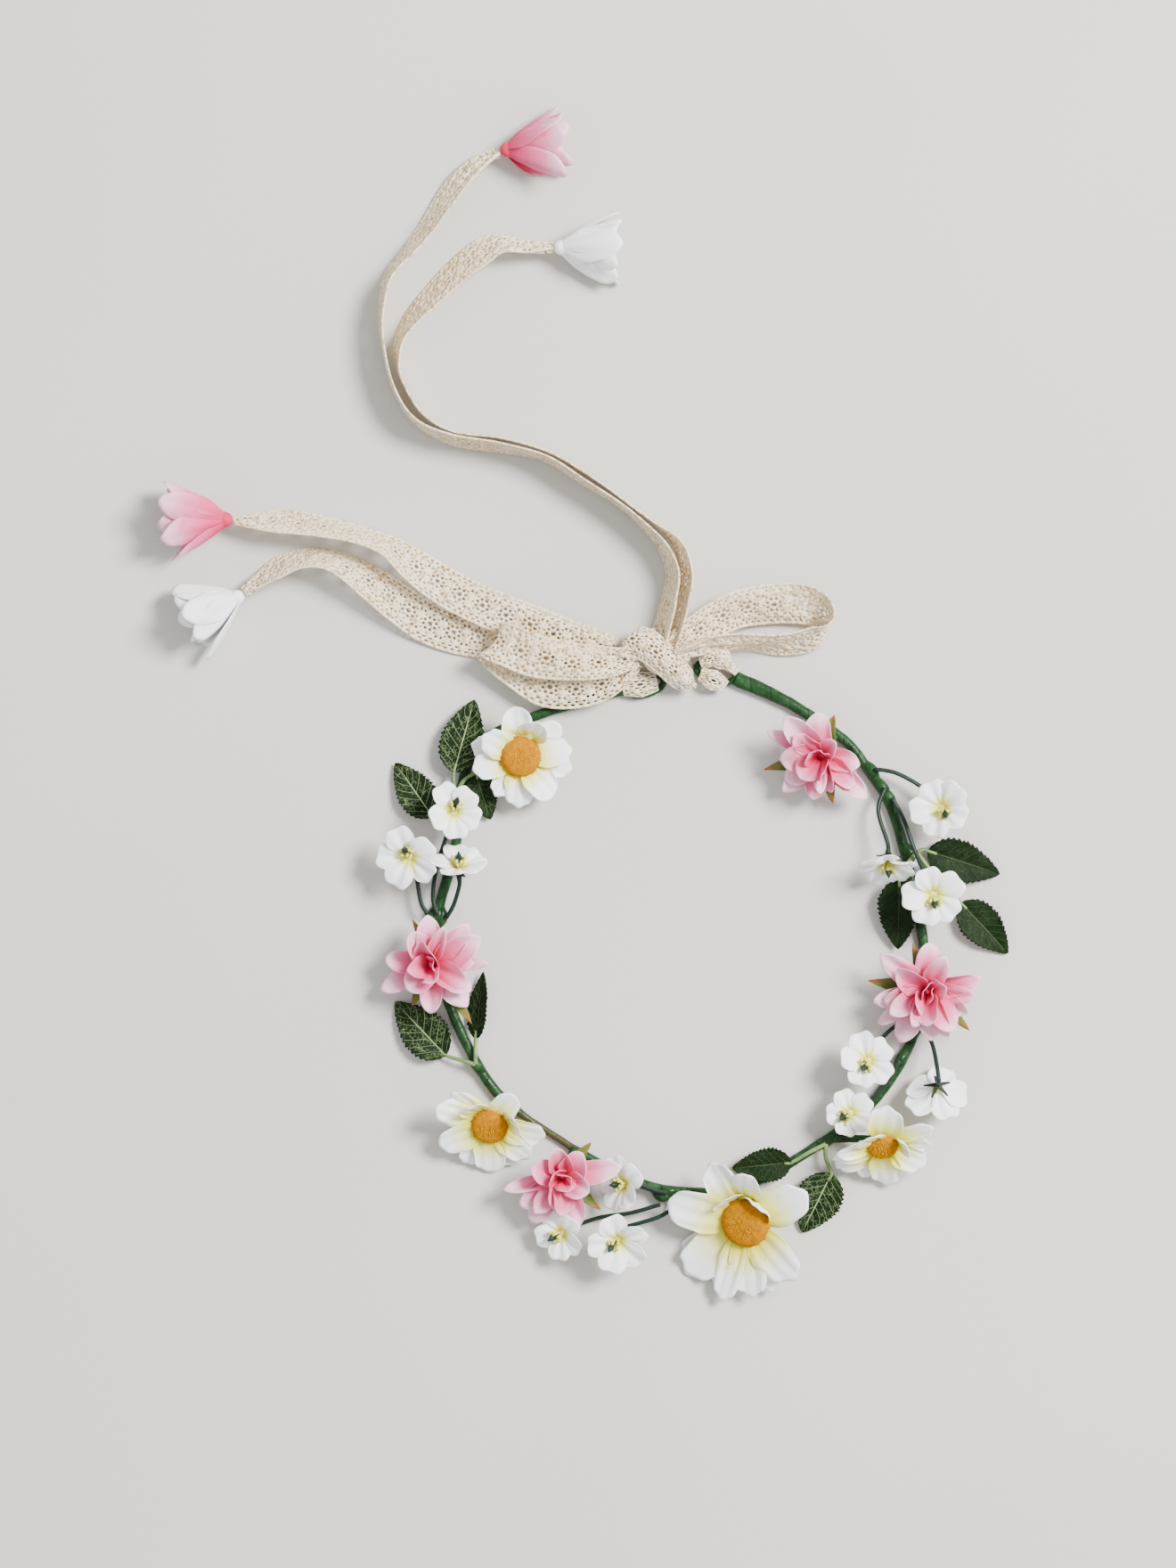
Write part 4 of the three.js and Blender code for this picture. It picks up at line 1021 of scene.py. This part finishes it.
# The tape is thicker at the doubled right end, and thinner and browner where nothing covers the front.
hoop = Piece()
taped = hoop_line[2:-3]
share = np.linspace(0, 1, len(taped))
wide = 1 + END_SWELL * np.exp(-((share / END_SHARE) ** 2))
from_bare = np.linalg.norm(taped[:, :2] - BARE_MIDDLE, axis=1)
bare = 1 / (1 + np.exp((from_bare - BARE_REACH) / BARE_FADE))
sizes = TAPE_HALF * 0.92 * wide * (1 - 0.32 * bare)
points, faces, marks = tube(taped, sizes, TAPE_SIDES, flat=1 / wide, wave=wound)
bare_points = np.repeat(bare, TAPE_SIDES)
marks[: len(bare_points), 2] = bare_points
points[:, 2] = np.clip(points[:, 2] - np.concatenate([bare_points * 0.6, [0, 0]]), 0.0, None)
hoop.add(points, faces, marks)
for name, root in NECKS.items():
    head = {**DAISIES, **PINKS}[name]
    start = hoop_line[np.argmin(np.abs(hoop_angles - root))]
    top = np.array(head["base"]) + attitude(head["facing"], head["tilt"]) @ np.array([0, 0, -1.2])
    bend = np.array([*(start + top)[:2] / 2, start[2] + (top[2] - start[2]) * 0.35])
    neck = evenly(through([start, bend, top], 40), HOOP_STEP)
    hoop.add(*tube(neck, NECK_RADIUS, 10, up=(0.1, 0.2, 1.0), wave=wound))


def sleeve(centre, reach, height, radius):
    """Tape wound round the hoop and a stem that starts on it."""
    centre = np.array(centre[:2])
    near = np.argmin(np.linalg.norm(hoop_line[:, :2] - centre, axis=1))
    steps = round(reach / HOOP_STEP)
    line = hoop_line[max(near - steps, 0) : min(near + steps, len(hoop_line) - 1)].copy()
    blend = np.cos(np.linspace(-1, 1, len(line)) * math.pi / 2) ** 2
    line[:, :2] += (centre - hoop_line[near, :2]) * 0.45 * blend[:, None]
    line[:, 2] += height * blend
    thin = TAPE_HALF * 0.9
    hoop.add(*tube(line, thin + (radius - thin) * blend, 12, wave=wound))


for *_, stem in BLOSSOMS:
    sleeve(stem[0], reach=4.5, height=1.0, radius=2.3)
for root, _ in SPRIGS.values():
    sleeve(root, reach=4.0, height=0.9, radius=2.2)
hoop.build("hoop_tape_wound", [TAPE], "hoop", "floral_tape", "hoop_tape")

# Each eye is an oval of taped wire: how far its centre is from the hoop's end, half its length and width.
EYE_CENTRE, EYE_LONG, EYE_WIDE, EYE_RADIUS = 5.8, 6.9, 3.4, 1.15
EYE_HEADINGS = (165, 14)
eyes = Piece()
for end, heading in zip((hoop_line[0], hoop_line[-1]), EYE_HEADINGS):
    outward = turn_z(heading) @ np.array([1.0, 0, 0])
    across = np.cross(UP, outward)
    angle = np.linspace(math.pi * 1.06, -math.pi * 0.94, 70)[:, None]
    centre = end + outward * EYE_CENTRE
    ring = centre + np.cos(angle) * outward * EYE_LONG + np.sin(angle) * across * EYE_WIDE
    eyes.add(*tube(ring, EYE_RADIUS, 10, wave=lambda s, a: 0.9 + 0.09 * ((s / 4 + a / 6.283) % 1)))
eyes.build("hoop_eyes_taped", [TAPE], "hoop", "floral_tape", "hoop_wire")

# ---- Bow ----
LOOP_GATHER = ((0, 0.45), (0.12, 0.8), (0.3, 1), (0.7, 1), (0.88, 0.8), (1, 0.45))
# The strips of lace in each part of the bow, with routes of [x, y, z, side x, side y, side z].
BOW = {
    "bow_loop_left": [dict(width=14.8, gather=LOOP_GATHER, ripple=1.6, seed=13.0, route=[
        [-20, 98, 6.8, 0, 1, 0], [-26, 93, 7.2, 0, 1, 0], [-34, 89.6, 6.8, 0, 1, 0],
        [-42.5, 88.6, 6.4, 0.05, 1, 0], [-51, 90, 5.9, 0.15, 1, 0], [-58.5, 95, 6, 0.4, 0.92, 0],
        [-65, 100, 7.2, 0.5, 0.85, 0], [-68.6, 104.5, 10, 0.5, 0.85, 0], [-64, 103.8, 12.6, 0.45, 0.9, 0],
        [-55, 100.2, 13.4, 0.3, 0.95, 0.1], [-44, 98.3, 13, 0.15, 0.98, 0.1], [-34, 97.8, 12.2, 0.1, 1, 0],
        [-26, 98.3, 11, 0.1, 1, 0], [-19, 99.8, 10, 0.1, 1, 0],
    ])],
    "bow_loop_right": [dict(width=14.8, gather=LOOP_GATHER, ripple=1.6, seed=14.0, route=[
        [-9, 103, 9.6, -0.3, 0.95, 0.1], [-3.5, 105.8, 9.4, -0.2, 0.97, 0.15],
        [2, 109, 9, -0.15, 0.97, 0.2], [8, 112.6, 7.8, -0.2, 0.95, 0.25],
        [16, 116.4, 6.6, -0.2, 0.93, 0.34], [26, 118, 5.8, 0, 0.93, 0.37], [37, 118.3, 6, 0, 0.9, 0.43],
        [44.3, 116, 6.8, 0.25, 0.72, 0.65], [46.6, 111, 7.8, 0.3, 0.45, 0.8],
        [42, 106.4, 7.8, 0.05, 0.5, 0.85], [31, 104.3, 7.6, 0, 0.48, 0.87], [18, 104.6, 7.8, 0, 0.42, 0.9],
        [8, 104, 8.6, 0, 0.45, 0.89], [1, 102.4, 9.4, 0, 0.5, 0.86], [-6, 100.5, 9.6, 0, 0.6, 0.8],
    ])],
    "bow_knot": [
        dict(width=13.5, gather=((0, 0.6), (0.2, 0.9), (0.45, 0.85), (0.62, 0.75), (0.8, 0.7), (1, 0.35)),
             crown=-3.0, pleats=1.5, seed=0.4, route=[
            [-16, 100, 4.5, 0.6, 0.8, 0], [-22.6, 104.2, 6.5, 0.6, 0.8, 0],
            [-21.8, 106.2, 10.6, 0.6, 0.8, 0], [-15.5, 103.6, 13.4, 0.65, 0.75, 0],
            [-9.4, 98.2, 13.4, 0.72, 0.7, 0], [-4, 92.9, 11.4, 0.7, 0.7, 0], [0.8, 90, 7.6, 0.5, 0.86, 0],
            [-2, 92, 4.2, 0.5, 0.86, 0],
        ]),
        dict(width=14.0, gather=((0, 0.6), (0.5, 0.9), (1, 0.6)), crown=-2.5, pleats=1.5, seed=2.0, route=[
            [-17, 109, 6.0, 0.9, 0.2, 0.2], [-15.5, 105, 9.4, 0.9, 0.3, 0.1],
            [-10.5, 99.5, 10.6, 0.8, 0.5, 0], [-5, 95.5, 8.8, 0.8, 0.5, 0], [-3.5, 97, 4.8, 0.8, 0.5, 0],
        ]),
    ],
    "ribbon_hitch_right": [
        dict(width=8.2, gather=((0, 0.6), (0.5, 0.95), (1, 0.5)), crown=-1.6, pleats=1.5, seed=1.0, route=[
            [3.0, 97.6, 5.4, 0.2, 1, 0.2], [7.0, 99.5, 6.6, 0.1, 1, 0.1],
            [12.4, 98.6, 6.6, -0.3, 1, 0], [16.2, 95.4, 4.8, -0.6, 0.8, 0],
        ]),
        dict(width=7.8, gather=((0, 0.6), (0.5, 0.95), (1, 0.55)), crown=-1.6, pleats=1.5, seed=3.0, route=[
            [2.6, 93.6, 5.2, 0.0, 1, 0.2], [5.6, 92.4, 6.2, 0.3, 1, 0.1],
            [9.2, 91.0, 6.0, 0.5, 1, 0], [12.0, 89.4, 4.4, 0.7, 0.8, 0],
        ]),
    ],
    "ribbon_hitch_left": [
        dict(width=9.5, gather=((0, 0.7), (0.5, 0.95), (1, 0.7)), crown=-1.4, pleats=1.5, seed=0.5, route=[
            [-24, 89.6, 4.2, 0, 1, 0], [-18.5, 90.2, 4.9, 0, 1, 0], [-12, 91.5, 4.6, 0, 1, 0],
        ]),
    ],
}
for name, strips in BOW.items():
    part = Piece()
    for strip in strips:
        lace_strip(part, **strip)
    part.build(name + "_lace", [LACE], "hoop", "lace", name, weld=True)

# ---- End blossoms, and the tails they end ----
# Each end blossom: base, heading, length, and the tail that it ends.
BELLS = {
    "end_blossom_back_pink": ((-64.8, 275.2, 8), 6, 25, "ribbon_tail_back_long"),
    "end_blossom_back_white": ((-46.3, 241.5, 8), 0, 25, "ribbon_tail_back_short"),
    "end_blossom_side_pink": ((-160.6, 147.3, 8), 178, 26, "ribbon_tail_side_long"),
    "end_blossom_side_white": ((-156.7, 120.8, 8), 205, 24, "ribbon_tail_side_short"),
}
# The whorls of petals: how many, length and width as shares of the bell's length, rise at the base and
# tip, distance out.
BELL_WHORLS = ((7, 1.0, 0.46, 50, 68, 1.4), (6, 0.97, 0.44, 60, 74, 1.0), (5, 0.86, 0.4, 74, 78, 0.5))
BELL_DROOP = -0.1

for number, (name, (base, heading, length, tail)) in enumerate(BELLS.items()):
    draw = np.random.default_rng(70 + number).uniform
    pink = "pink" in name
    h = math.radians(heading)
    forward = unit(np.array([math.cos(h), math.sin(h), BELL_DROOP]))
    side = unit(np.cross(UP, forward))
    turn = np.stack([side, np.cross(forward, side), forward], axis=1)
    bell = Piece()
    for whorl, (count, long, wide, start, end, out) in enumerate(BELL_WHORLS):
        for k in range(count):
            made = sheet(length * wide * draw(0.92, 1.08), BELL_OUTLINE, start + draw(-6, 4),
                         end + draw(-5, 5), length=length * long * draw(0.9, 1.0), out=out, power=0.8,
                         tip=0.4, point=draw(0.0, 0.35), channel=draw(0.2, 0.6), grooves=2,
                         depth=draw(0.2, 0.5), ruffle=draw(0.8, 1.8), curl=draw(-0.6, 0.2),
                         phase=draw(0, 6), rows=14, cols=13)
            place_sheet(bell, made, 360 / count * (k + 0.35 * whorl) + draw(-8, 8), base, turn,
                        twist=draw(-10, 10), tint=0.06 if pink else 0.0)
    collar = np.array(base) + forward * np.linspace(-1.5, 3.5, 6)[:, None]
    bell.add(*tube(collar, [1.2, 2.2, 2.6, 2.8, 2.6, 1.5], 12)[:2], (0.1, 0, 0))
    material, slot = (PINK, "pink_petal") if pink else (WHITE, "white_petal")
    made = bell.build(name + "_petals", [material], "hoop", slot, name)
    line = tail_lines[tail]

# ---- Floor and light ----
FLOOR_HALF = 3
floor_mesh = bpy.data.meshes.new("floor")
corners = [(x * FLOOR_HALF, y * FLOOR_HALF, 0) for x, y in ((-1, -1), (1, -1), (1, 1), (-1, 1))]
floor_mesh.from_pydata(corners, [], [(0, 1, 2, 3)])
floor = bpy.data.objects.new("floor", floor_mesh)
bpy.context.scene.collection.objects.link(floor)
cloth = Shader("floor_cloth", Roughness=0.95, Specular_IOR_Level=0.1)
tone = cloth.ramp(cloth.noise(4.0, 2.0), (0.3, (0.516, 0.500, 0.458)), (0.7, (0.544, 0.528, 0.486)))
floor_mesh.materials.append(cloth.finish(tone, cloth.bump(cloth.noise(900.0, 2.0), 0.0001, 0.3)))


def area_light(name, place, target, size, power):
    data = bpy.data.lights.new(name, "AREA")
    data.shape, data.size, data.energy = "DISK", size, power
    lamp = bpy.data.objects.new(name, data)
    lamp.location = place
    aim = np.array(target) - np.array(place)
    fall = math.acos(-aim[2] / np.linalg.norm(aim))
    lamp.rotation_euler = (fall, 0, math.atan2(aim[1], aim[0]) - math.pi / 2)
    bpy.context.scene.collection.objects.link(lamp)


area_light("key", place=(1.25, 0.75, 1.7), target=(0, 0.05, 0), size=0.8, power=150)
studio = bpy.data.worlds.new("studio")
studio.use_nodes = True
background = studio.node_tree.nodes["Background"]
background.inputs["Color"].default_value = (0.95, 0.97, 1.0, 1)
background.inputs["Strength"].default_value = 1.25
bpy.context.scene.world = studio
